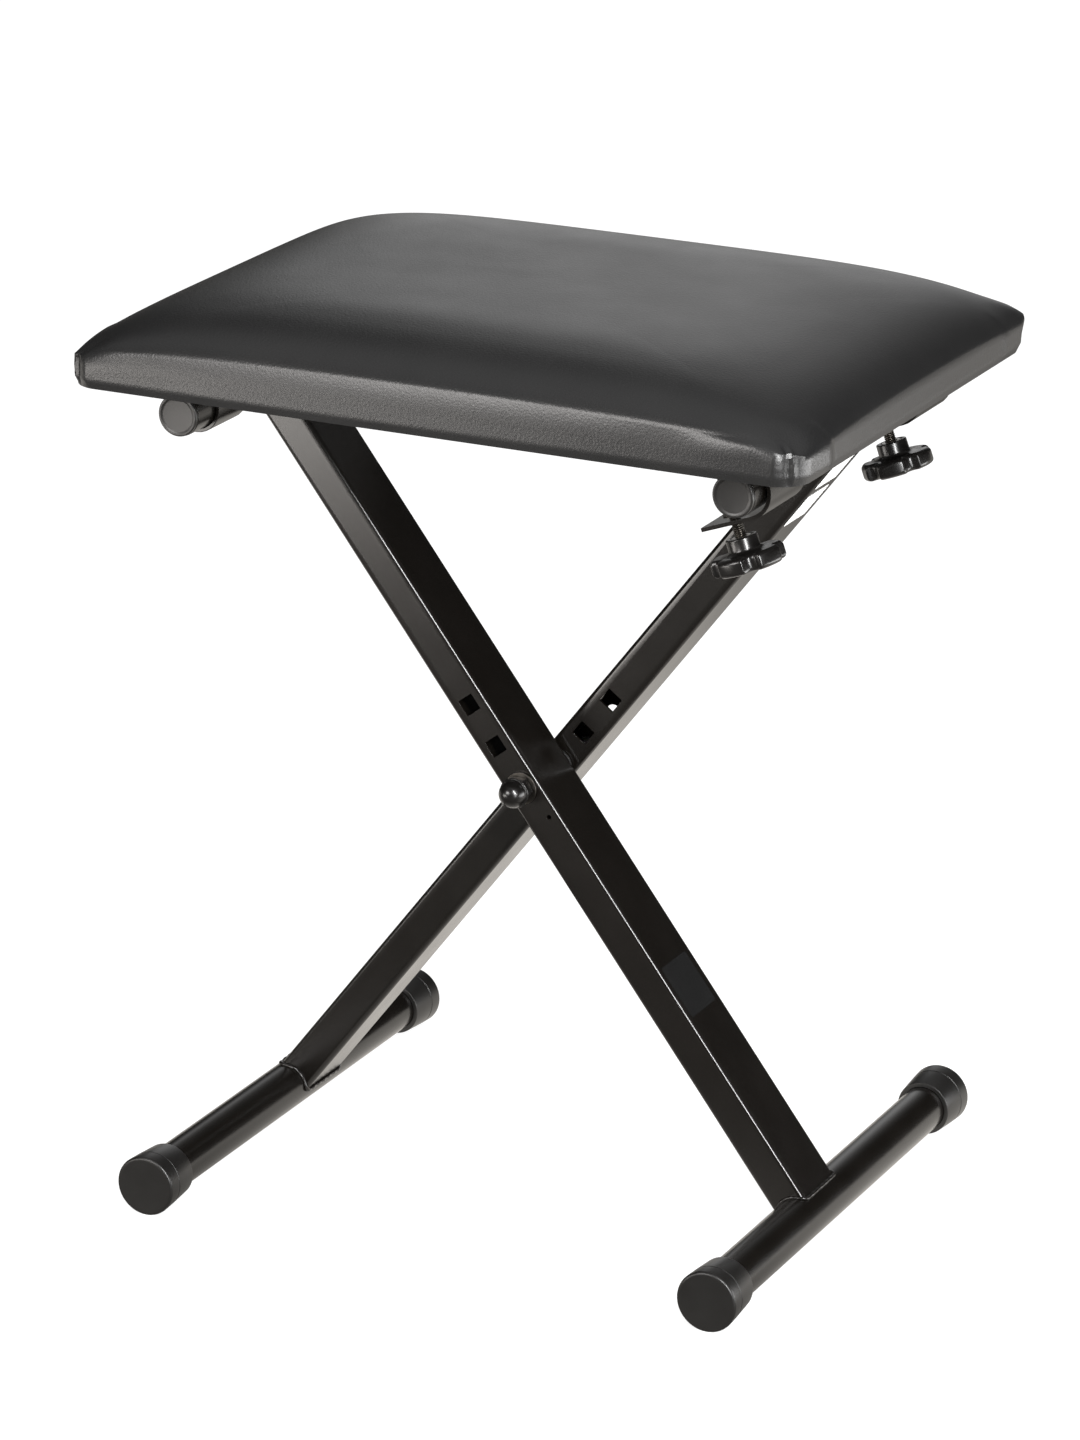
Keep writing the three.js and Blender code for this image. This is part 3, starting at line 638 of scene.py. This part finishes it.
# The cushion: a foam block under a crowned vinyl cover, wrapped round the board and stapled.
# Both are lofted in closed lines round the seat; the vinyl is folded at each corner.
def seat_vinyl():
    material, shader, draw = new_finish("black_vinyl", Specular_IOR_Level=0.5)
    cloud = draw.noise(30, 3)
    deep, rubbed = (0.0075, 0.0075, 0.0077, 1), (0.011, 0.0108, 0.0108, 1)
    draw.feed(shader["Base Color"], cloud.blend(deep, rubbed))
    grain = draw.cells(900, draw.place(), "SMOOTH_F1")
    fine = draw.noise(1700, 3)
    draw.feed(shader["Roughness"], 0.27 + 0.08 * cloud + 0.08 * fine)
    relief = (grain + 0.6 * fine).bump(0.1, 0.7)
    draw.feed(shader["Normal"], relief)
    return material


def soft_foam():
    material, shader, draw = new_finish("seat_foam", Roughness=0.95)
    pores = draw.cells(500)
    draw.feed(shader["Base Color"], pores.blend((0.62, 0.55, 0.36, 1), (0.78, 0.71, 0.50, 1)))
    draw.feed(shader["Normal"], pores.bump(0.4, 0.7))
    return material


SEAT = Vector((0, 3.5, 435.4))
HALF_WIDTH, HALF_DEPTH = 200.0, 149.0
HEIGHT, SHOULDER = 44.5, 13.5
CORNER_RADIUS = 15
SIDE_PULL = 1.5
RIM_ALONG, TOP_ALONG = 5, 1.6
RIM_ACROSS, TOP_ACROSS = 4.3, 3.1


def crown_height(x, y, depth):
    """The crown over a place on the seat, this deep under its skin, in millimetres."""
    along = 1 - min(abs(x) / (HALF_WIDTH - depth), 1) ** RIM_ALONG
    across = 1 - min(abs(y) / (HALF_DEPTH - depth), 1) ** RIM_ACROSS
    rise = (HEIGHT - depth - SHOULDER) * along ** (1 / TOP_ALONG)
    return SHOULDER + rise * across ** (1 / TOP_ACROSS)


def line_round(inset, draw_in, height):
    """One closed line round the cushion: a rounded rectangle with its sides drawn in. The points
    lie closer together towards the corners."""
    half_x, half_y = HALF_WIDTH - inset, HALF_DEPTH - inset
    radius = min(CORNER_RADIUS + 0.45 * inset, 0.85 * half_y)
    corner_steps, crowding = 24, 0.11
    points = []
    for quarter, (sign_x, sign_y) in enumerate(((1, 1), (-1, 1), (-1, -1), (1, -1))):
        centre_x, centre_y = sign_x * (half_x - radius), sign_y * (half_y - radius)
        for i in range(corner_steps + 1):
            angle = math.pi / 2 * (quarter + i / corner_steps)
            across, along = radius * math.cos(angle), radius * math.sin(angle)
            points.append((centre_x + across, centre_y + along))
        along_x = quarter % 2 == 0
        steps = 64 if along_x else 52
        straight = half_x - radius if along_x else half_y - radius
        for i in range(1, steps):
            share = i / steps
            share = 1 - 2 * (share - crowding * math.sin(math.tau * share))
            pull = draw_in * (1 - share * share)
            if along_x:
                points.append((sign_x * straight * share, sign_y * (half_y - pull)))
            else:
                points.append((sign_x * (half_x - pull), sign_y * straight * share))
    return [Vector((x, y, height(x, y) if callable(height) else height)) for x, y in points]


def cushion_lines(depth, floor):
    """The lines of the cushion's skin from a floor height up to the last one of the crown."""
    border_lines, rising_lines = 9, 30

    def crown(x, y):
        return crown_height(x, y, depth)

    lines = []
    for i in range(border_lines):
        height = floor + (SHOULDER - floor) * i / border_lines
        tuck = depth + 1.5 * max(0.0, 1 - height / 4.5) + 0.7 * max(0.0, 1 - height / SHOULDER)
        lines.append(line_round(tuck, SIDE_PULL * height / SHOULDER, height))
    insets = []
    for i in range(rising_lines):
        share = (i / (rising_lines + 1)) ** TOP_ACROSS
        insets.append(1 - (1 - share) ** (1 / RIM_ACROSS))
    step = insets[-1]
    while step < 0.95:
        step += 0.028
        insets.append(min(step, 0.97))
    for i, share in enumerate(insets):
        if i == 0 or share - insets[i - 1] > 0.0015:
            inset = depth + share * (HALF_DEPTH - depth)
            lines.append(line_round(inset, SIDE_PULL * (1 - share), crown))
    return lines


def share_of(value):
    """A value kept between 0 and 1."""
    return max(0.0, min(1.0, value))


def hump(distance):
    """1 in the middle of a fold or crease, falling away on both sides."""
    return math.exp(-distance ** 2)


def from_corner(point):
    """Where a point is from the middle of the nearest corner's arc, along and across the seat."""
    reach_x, reach_y = HALF_WIDTH - CORNER_RADIUS, HALF_DEPTH - CORNER_RADIUS
    return Vector((abs(point.x) - reach_x, abs(point.y) - reach_y))


def rounded_corner(point):
    """How far foam and vinyl are drawn in at a corner, in millimetres. The back right corner is
    fuller than the others."""
    reach = from_corner(point)
    high = share_of((point.z - 9.5) / 10)
    rim = share_of(((reach.x + reach.y) / math.sqrt(2) + 12) / 24)
    drawn = -1.5 if point.x > 0 < point.y else 2.4
    return drawn * high * rim * rim * (3 - 2 * rim) * hump((reach.x - reach.y) / 16)


def corner_fold(point):
    """The fold that runs up a corner: a ridge with a hollow beside it."""
    reach = from_corner(point)
    if reach.x <= 0 or reach.y <= -2 or reach.length <= 8:
        return 0.0
    across = (reach.x - reach.y) / math.sqrt(2)
    return 0.8 * hump(across / 1.3) - 0.9 * hump((across + 2.5) / 1.5)


def side_pleat(point):
    """The flap laid over on a short side near its corner, which steps up and then slopes away."""
    start, length, rise, fall = 111, 32, 2.2, 3.6
    inner = 186
    x, along = abs(point.x), (abs(point.y) - start) / length
    if x <= inner or along <= 0:
        return 0.0
    return min(1.0, (x - inner) / 6) * min(1.0, along / 0.07) * (rise - fall * along)


def border_crease(point):
    """The light crease along the long borders, which climbs a little from left to right."""
    height = 18.5 + 3.5 * (point.x + HALF_WIDTH) / (2 * HALF_WIDTH)
    from_crease = point.z - height
    along = share_of((abs(point.y) - 100) / 30) * share_of((188 - abs(point.x)) / 20)
    return along * (0.25 * hump((from_crease + 3.5) / 2.2) - 0.4 * hump(from_crease / 1.5))


def folds(point):
    """How far the vinyl stands out where it is folded, pleated and creased, in millimetres."""
    top, fade, back_share = 31, 20, 0.4
    out = border_crease(point) - rounded_corner(point)
    if abs(point.x) > 170 and abs(point.y) > 100:
        low = share_of((top - point.z) / fade) ** 1.5 * min(1.0, 0.35 + point.z / 9)
        share = 1.0 if point.y < 0 else back_share
        out += low * share * (corner_fold(point) + side_pleat(point))
    return out


def skin_over(lines, closed_below):
    """A skin over lines that climb the cushion, closed at the top and, if wanted, below."""
    shape = bmesh.new()
    loops = [[shape.verts.new(point + SEAT) for point in line] for line in lines]
    join_loops(shape, loops)
    ends = [(loops[-1], False)] + ([(loops[0], True)] if closed_below else [])
    for loop, below in ends:
        middle = sum((vertex.co for vertex in loop), Vector()) / len(loop)
        hub = shape.verts.new(middle)
        for i in range(len(loop)):
            pair = (loop[i], loop[(i + 1) % len(loop)])
            shape.faces.new((*(pair[::-1] if below else pair), hub))
    return shape


def cover_skin():
    """The vinyl before it is stuffed, a little lower than the seat, with its hem below."""
    hem_lines, hem_depth, slack = 8, 22, 0.035
    hem = [line_round(1.5 + hem_depth * (1 - i / hem_lines), 0.0, 0.0) for i in range(hem_lines)]
    shape = skin_over(hem + cushion_lines(0.0, 0.0), closed_below=False)
    for vertex in shape.verts:
        rise = vertex.co.z - SEAT.z - SHOULDER
        vertex.co.z -= max(0.0, rise) * slack
    bmesh.ops.scale(shape, vec=(MM, MM, MM), verts=shape.verts)
    return piece_from("seat_vinyl_cover", shape)


def settle(piece):
    """Applies all of a piece's modifiers to its mesh."""
    seen = piece.evaluated_get(bpy.context.evaluated_depsgraph_get())
    mesh = bpy.data.meshes.new_from_object(seen)
    piece.modifiers.clear()
    piece.data = mesh


def middle_share(place):
    """0 at the cushion's rim, and 1 at the line along its middle."""
    x, y = abs(place.x / MM - SEAT.x), abs(place.y / MM - SEAT.y)
    return min(HALF_WIDTH - x, HALF_DEPTH - y) / HALF_DEPTH


def evened(values, neighbours, rounds):
    """Each value averaged again and again with those next to it."""
    for evening in range(rounds):
        total, count = list(values), [1] * len(values)
        for one, other in neighbours:
            total[one] += values[other]
            total[other] += values[one]
            count[one] += 1
            count[other] += 1
        values = [part / number for part, number in zip(total, count)]
    return values


def stuff(piece, held_below, most):
    """Swells a skin with the foam's pressure while its stapled hem is held. The foam keeps every
    point from sinking in, and no point moves out by more than this many millimetres."""
    frames, evening_rounds = 20, 60
    start = [vertex.co.copy() for vertex in piece.data.vertices]
    normals = [vertex.normal.copy() for vertex in piece.data.vertices]
    stapled = piece.vertex_groups.new(name="stapled")
    stapled.add([i for i, place in enumerate(start) if place.z < held_below * MM], 1.0, "REPLACE")
    vinyl = piece.modifiers.new("vinyl", "CLOTH")
    vinyl.settings.quality = 5
    vinyl.settings.tension_stiffness = 60
    vinyl.settings.compression_stiffness = 60
    vinyl.settings.shear_stiffness = 30
    vinyl.settings.bending_stiffness = 4
    vinyl.settings.use_pressure = True
    vinyl.settings.uniform_pressure_force = 4
    vinyl.settings.vertex_group_mass = stapled.name
    vinyl.settings.effector_weights.gravity = 0
    vinyl.collision_settings.use_collision = False
    for moment in range(1, frames + 1):
        bpy.context.scene.frame_set(moment)
    settle(piece)
    bpy.context.scene.frame_set(1)
    out = []
    for vertex, place, normal in zip(piece.data.vertices, start, normals):
        out.append(max(0.0, min(most * MM, (vertex.co - place).dot(normal))))
    out = evened(out, [tuple(edge.vertices) for edge in piece.data.edges], evening_rounds)
    middle = [part for part, place in zip(out, start) if middle_share(place) > 0.7]
    even = sum(middle) / len(middle)
    for i, vertex in enumerate(piece.data.vertices):
        held = start[i].z < held_below * MM
        share = share_of((middle_share(start[i]) - 0.25) / 0.4)
        share = share * share * (3 - 2 * share)
        rise = out[i] * (1 - share) + even * share
        vertex.co = start[i] + normals[i] * (0.0 if held else rise)


def move_out(piece, reach):
    """Moves a skin out by a reach that depends on the place, above the seat's lower edge."""
    moves = []
    for vertex in piece.data.vertices:
        place = vertex.co / MM - SEAT
        moves.append(vertex.normal * MM * (reach(place) if place.z > 0.3 else 0.0))
    for vertex, move in zip(piece.data.vertices, moves):
        vertex.co += move


black_vinyl = seat_vinyl()
cover = cover_skin()
stuff(cover, held_below=449, most=2.2)
move_out(cover, folds)
wall = cover.modifiers.new("wall", "SOLIDIFY")
wall.thickness = 1.2 * MM
wall.offset = -1
finish_piece(cover, black_vinyl, "black_vinyl", "seat_cover", sharp=50)

foam_shape = skin_over(cushion_lines(depth=3.0, floor=13.9), closed_below=True)
foam_block = piece_in_mm("seat_foam_block", foam_shape)
move_out(foam_block, lambda place: -1.3 * rounded_corner(place))
finish_piece(foam_block, soft_foam(), "seat_foam", "seat_foam", sharp=60)


# The dust cover: thin black felt stretched under the board inside the vinyl's hem.
# A copy of the CAD sheet, cut finely, that sags a little between its staples.
def felt_cloth():
    material, shader, draw = new_finish("black_felt", Roughness=0.95, Sheen_Weight=0.3)
    fibre = draw.noise(900, 4)
    deep, lint = (0.012, 0.012, 0.012, 1), (0.035, 0.034, 0.033, 1)
    draw.feed(shader["Base Color"], fibre.blend(deep, lint))
    draw.feed(shader["Normal"], fibre.bump(0.2, 0.6))
    return material


STAPLE_SPACING = 24


def pucker(piece, pitch, depth):
    """Cuts a flat sheet finely and lets it sag a little between the staples along its rim."""
    low, high = (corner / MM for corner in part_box("dust_cover"))
    shape = bmesh.new()
    shape.from_mesh(piece.data)
    for axis in (0, 1):
        way = Vector((1 - axis, axis, 0))
        for step in range(1, int((high[axis] - low[axis]) / pitch) + 1):
            place = way * (low[axis] + step * pitch) * MM
            parts = shape.verts[:] + shape.edges[:] + shape.faces[:]
            bmesh.ops.bisect_plane(shape, geom=parts, plane_co=place, plane_no=way, dist=1e-7)
    rim = 18
    for vertex in shape.verts:
        x, y = vertex.co.x / MM, vertex.co.y / MM
        rim_x = math.exp(-min(x - low.x, high.x - x) / rim)
        rim_y = math.exp(-min(y - low.y, high.y - y) / rim)
        wave = rim_y * (1 - math.cos(math.tau * x / STAPLE_SPACING))
        wave += rim_x * (1 - math.cos(math.tau * y / STAPLE_SPACING))
        broad = 0.5 + 0.5 * math.sin(x / 31 + 1.3 * math.sin(y / 47))
        vertex.co.z -= depth * MM * (0.35 * wave + 0.3 * broad)
    shape.to_mesh(piece.data)
    shape.free()


felt = copy_of("dust_cover_felt", "dust_cover")
pucker(felt, pitch=6, depth=0.15)
finish_piece(felt, felt_cloth(), "black_felt", "dust_cover")


# The staples that hold the hem: bent steel wire, driven in along the hem a little aslant.
# One wire is repeated along a line under the seat, which stops where the clamps slide.
def staple_tree():
    tree = bpy.data.node_groups.new("hem_staples", "GeometryNodeTree")
    face = tree.interface
    face.new_socket("Hem Line", in_out="INPUT", socket_type="NodeSocketGeometry")
    for name in ("Spacing", "Crown Width", "Wire"):
        face.new_socket(name, in_out="INPUT", socket_type="NodeSocketFloat")
    face.new_socket("Finish", in_out="INPUT", socket_type="NodeSocketMaterial")
    face.new_socket("Staples", in_out="OUTPUT", socket_type="NodeSocketGeometry")
    given = tree.nodes.new("NodeGroupInput").outputs
    least_slant, most_slant, leg_rise, sag = -0.16, 0.16, 0.0009, -0.0005

    def add(kind, settings, inputs, output=0):
        made = tree.nodes.new(kind)
        for name, value in settings.items():
            setattr(made, name, value)
        for name, value in inputs.items():
            if isinstance(value, bpy.types.NodeSocket):
                tree.links.new(value, made.inputs[name])
            else:
                made.inputs[name].default_value = value
        return made.outputs[output]

    line = add("GeometryNodeMeshToCurve", {}, {"Mesh": given["Hem Line"]})
    stepped = {"Curve": line, "Length": given["Spacing"]}
    places = add("GeometryNodeResampleCurve", {"mode": "LENGTH"}, stepped)
    tangent = add("GeometryNodeInputTangent", {}, {})
    along = add("FunctionNodeAlignRotationToVector", {"axis": "X"}, {"Vector": tangent})
    chance = {2: least_slant, 3: most_slant, "Seed": 7}
    slant = add("FunctionNodeRandomValue", {"data_type": "FLOAT"}, chance, output=1)
    turn = add("ShaderNodeCombineXYZ", {}, {"Z": slant})
    both_turns = {"Rotation": along, "Rotate By": turn}
    turned = add("FunctionNodeRotateRotation", {"rotation_space": "LOCAL"}, both_turns)
    ends = []
    for share in (-0.5, 0.5):
        halved = {0: given["Crown Width"], 1: share}
        reach = add("ShaderNodeMath", {"operation": "MULTIPLY"}, halved)
        ends.append(add("ShaderNodeCombineXYZ", {}, {"X": reach, "Z": leg_rise}))
    bend = {"Start": ends[0], "Middle": (0, 0, sag), "End": ends[1], "Resolution": 6}
    wire_line = add("GeometryNodeCurveQuadraticBezier", {}, bend)
    round_wire = {"Resolution": 8, "Radius": given["Wire"]}
    section = add("GeometryNodeCurvePrimitiveCircle", {}, round_wire)
    solid = {"Curve": wire_line, "Profile Curve": section, "Fill Caps": True}
    wire = add("GeometryNodeCurveToMesh", {}, solid)
    driven = {"Points": places, "Instance": wire, "Rotation": turned}
    staples = add("GeometryNodeInstanceOnPoints", {}, driven)
    real = add("GeometryNodeRealizeInstances", {}, {"Geometry": staples})
    painted = {"Geometry": real, "Material": given["Finish"]}
    finished = add("GeometryNodeSetMaterial", {}, painted)
    tree.links.new(finished, tree.nodes.new("NodeGroupOutput").inputs["Staples"])
    return tree


def hem_line(inset):
    """The staples' line under the hem, left out where the clamps' leaves pass."""
    leaf_x, near_leaf, far_leaf = 150, (-114, -66), (73, 121)
    shape = bmesh.new()
    points = line_round(inset, 0.0, 0.0)
    vertices = [shape.verts.new((point + SEAT) * MM) for point in points]
    for i, point in enumerate(points):
        middle = point + SEAT
        under_leaf = any(low < middle.y < high for low, high in (near_leaf, far_leaf))
        if not (middle.x > leaf_x and under_leaf):
            shape.edges.new((vertices[i], vertices[(i + 1) % len(vertices)]))
    return piece_from("hem_staples", shape)


staples = hem_line(inset=15.5)
stapling = staples.modifiers.new("staples", "NODES")
stapling.node_group = staple_tree()
sizes = {
    "Spacing": STAPLE_SPACING * MM, "Crown Width": 11 * MM, "Wire": 0.35 * MM, "Finish": zinc_steel,
}
for item in stapling.node_group.interface.items_tree:
    if item.in_out == "INPUT" and item.name in sizes:
        stapling[item.identifier] = sizes[item.name]
settle(staples)
staples.data.shade_smooth()
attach(staples, "seat")


# The sticker on the front leg and the two labels on the rear leg: thin film in one plain colour.
# Each lies on its leg's sloping side, with rounded corners.
def film(name, colour, rough):
    material, shader, draw = new_finish(name)
    cloud = draw.noise(70, 2)
    dark = tuple(0.85 * part for part in colour) + (1,)
    draw.feed(shader["Base Color"], cloud.blend(dark, (*colour, 1)))
    draw.feed(shader["Roughness"], rough + 0.08 * cloud)
    return material


def plate_on_leg(name, lean, along, across, thickness=0.12):
    """A thin plate with round corners on a leg's side: along is from the pivot up the leg, across
    is from front to back, both as (from, to) in millimetres."""
    corner, corner_steps, gap = 1.5, 6, 0.02
    (low, high), (front, back) = along, across
    shape = bmesh.new()
    outline = []
    for quarter, (u, v) in enumerate(((high, back), (low, back), (low, front), (high, front))):
        centre_u = u - corner if u == high else u + corner
        centre_v = v - corner if v == back else v + corner
        for i in range(corner_steps + 1):
            angle = math.pi / 2 * (quarter + i / corner_steps)
            point = (centre_u + corner * math.cos(angle), centre_v + corner * math.sin(angle))
            outline.append(point)
    direction = Vector((math.sin(lean), 0, math.cos(lean)))
    outwards = Vector((math.cos(lean), 0, -math.sin(lean)))
    loops = []
    for rise in (gap, thickness):
        base = PIVOT + outwards * (LEG_HALF_WIDTH + rise)
        loop = [base + direction * u + Vector((0, v, 0)) for u, v in outline]
        loops.append([shape.verts.new(point) for point in loop])
    join_loops(shape, loops)
    shape.faces.new(loops[0])
    shape.faces.new(loops[1])
    return piece_in_mm(name, shape)


black_film = film("sticker_film", (0.008, 0.008, 0.008), 0.16)
white_film = film("label_film", (0.80, 0.80, 0.79), 0.45)
sticker_along, sticker_across, label_across = (-145.2, -115.7), (-36.3, -7.2), (2.2, 29)
sticker = plate_on_leg("front_leg_sticker", -LEAN, sticker_along, sticker_across)
finish_piece(sticker, black_film, "black_paint", body="front_frame")
for number, label_along in enumerate(((190, 212), (217, 236)), 1):
    label = plate_on_leg(f"rear_leg_label_{number}", LEAN, label_along, label_across)
    finish_piece(label, white_film, "satin_plastic", body="rear_frame")


# The studio: a pale floor and background, a long soft key light from the front right, panels low
# on the right and the front left, and a camera where the photograph was taken.
def studio_floor():
    """White to the camera. In reflections it is dark before the bench and far behind it."""
    material = bpy.data.materials.new("studio_floor")
    material.use_nodes = True
    tree = material.node_tree
    tree.nodes.clear()
    draw = Pattern(tree)
    ray = draw.node("LightPath")
    kinds = ("Camera", "Diffuse", "Glossy", "Transmission")
    seen = {kind: Pattern(tree, ray.socket.node.outputs[f"Is {kind} Ray"]) for kind in kinds}
    place = draw.place()
    far = place.part("Y").between(0.3, 0.85) * (1 - place.part("X").between(0.25, 0.6))
    near = place.part("Y").between(-0.25, 0.12) * (1 - 0.9 * far)
    near = near * (1 - 0.35 * place.part("X").between(0.35, 0.7))
    bright = seen["Glossy"] * (0.04 + near) + seen["Camera"] * 0.8
    bright = bright + 0.5 * seen["Diffuse"] + seen["Transmission"]
    shade = seen["Glossy"].blend((1, 1, 1, 1), (1, 0.95, 0.88, 1))
    glow = draw.node("Emission", inputs={"Strength": bright, "Color": shade})
    tone = seen["Glossy"].blend((0.35, 0.35, 0.35, 1), (0.08, 0.077, 0.072, 1))
    paper = draw.node("BsdfDiffuse", inputs={"Color": tone})
    both = draw.node("AddShader", inputs={0: glow, 1: paper})
    output = tree.nodes.new("ShaderNodeOutputMaterial")
    tree.links.new(both.socket, output.inputs["Surface"])
    return material


def studio_sky():
    """White to the camera. In reflections the backdrop is bright near the floor at the back left
    and dark above and behind on the right."""
    world = bpy.data.worlds.new("studio")
    world.use_nodes = True
    tree = world.node_tree
    tree.nodes.clear()
    draw = Pattern(tree)
    ray = draw.node("LightPath").socket.node
    camera = Pattern(tree, ray.outputs["Is Camera Ray"])
    glossy = Pattern(tree, ray.outputs["Is Glossy Ray"])
    way = draw.node("TexCoord", output="Generated")
    up, behind = way.part("Z"), way.part("Y").between(0.0, 0.3)
    side = way.part("X") / (way.part("Y") + (1 - behind) * 2)
    window = side.between(-0.66, -0.5) * (1 - side.between(-0.47, 0.12)) * behind
    low = 1 - up.between(0.3, 0.62)
    backdrop = low * (0.01 + 1.05 * window) + 0.015 + 0.5 * up.between(0.6, 0.9)
    mirrored = glossy * backdrop + (1 - glossy) * 0.7
    level = camera + (1 - camera) * mirrored
    back = draw.node("Background", inputs={"Strength": level, "Color": (1, 1, 1, 1)})
    output = tree.nodes.new("ShaderNodeOutputWorld")
    tree.links.new(back.socket, output.inputs["Surface"])
    return world


def soft_light(name, place, aim, width, height, strength, colour=(1, 1, 1), turn=0.0):
    """A flat lamp facing a point, turned in its own plane, its brightness given per area."""
    lamp = bpy.data.lights.new(name, "AREA")
    lamp.shape = "RECTANGLE"
    lamp.size, lamp.size_y = width, height
    lamp.energy = strength * width * height * math.pi
    lamp.color = colour
    light = bpy.data.objects.new(name, lamp)
    light.location = place
    facing = (Vector(aim) - Vector(place)).to_track_quat("-Z", "Y").to_matrix()
    light.rotation_euler = (facing @ Matrix.Rotation(turn, 3, "Z")).to_euler()
    light.visible_camera = False
    bpy.context.scene.collection.objects.link(light)


floor_shape = bmesh.new()
bmesh.ops.create_grid(floor_shape, x_segments=2, y_segments=2, size=30)
studio_ground = piece_from("studio_ground", floor_shape)
studio_ground.data.materials.append(studio_floor())
bpy.context.scene.world = studio_sky()
soft_light("key_light", (1.12, -1.2, 1.06), (0, 0, 0.25), 0.2, 1.15, 75, turn=0.463)
soft_light("corner_light", (1.05, -0.95, 0.32), (0.2, -0.1, 0.44), 0.3, 0.35, 9)
soft_light("side_panel", (1.04, 0.2, 0.18), (0.2, -0.14, 0.44), 1.0, 0.3, 8.5)
soft_light("low_panel", (-0.85, -1.05, 0.14), (-0.05, 0, 0.4), 0.65, 0.26, 10, (1, 0.955, 0.91))
soft_light("band_panel", (-0.36, -1.1, 0.68), (0.0, -0.1, 0.45), 0.5, 0.3, 17, (1, 0.97, 0.95))

AZIMUTH, ELEVATION, ROLL = (math.radians(angle) for angle in (25.634, 18.714, 0.612))
camera_data = bpy.data.cameras.new("photo_camera")
camera_data.sensor_width = 36
camera_data.lens = 148.467
camera_data.clip_end = 200
camera = bpy.data.objects.new("photo_camera", camera_data)
camera.location = (1.2479, -2.6080, 1.22705)
camera.rotation_euler = (
    Matrix.Rotation(AZIMUTH, 3, "Z")
    @ Matrix.Rotation(math.pi / 2 - ELEVATION, 3, "X")
    @ Matrix.Rotation(ROLL, 3, "Z")
).to_euler()
bpy.context.scene.collection.objects.link(camera)
bpy.context.scene.camera = camera
bpy.context.scene.view_settings.view_transform = "Standard"
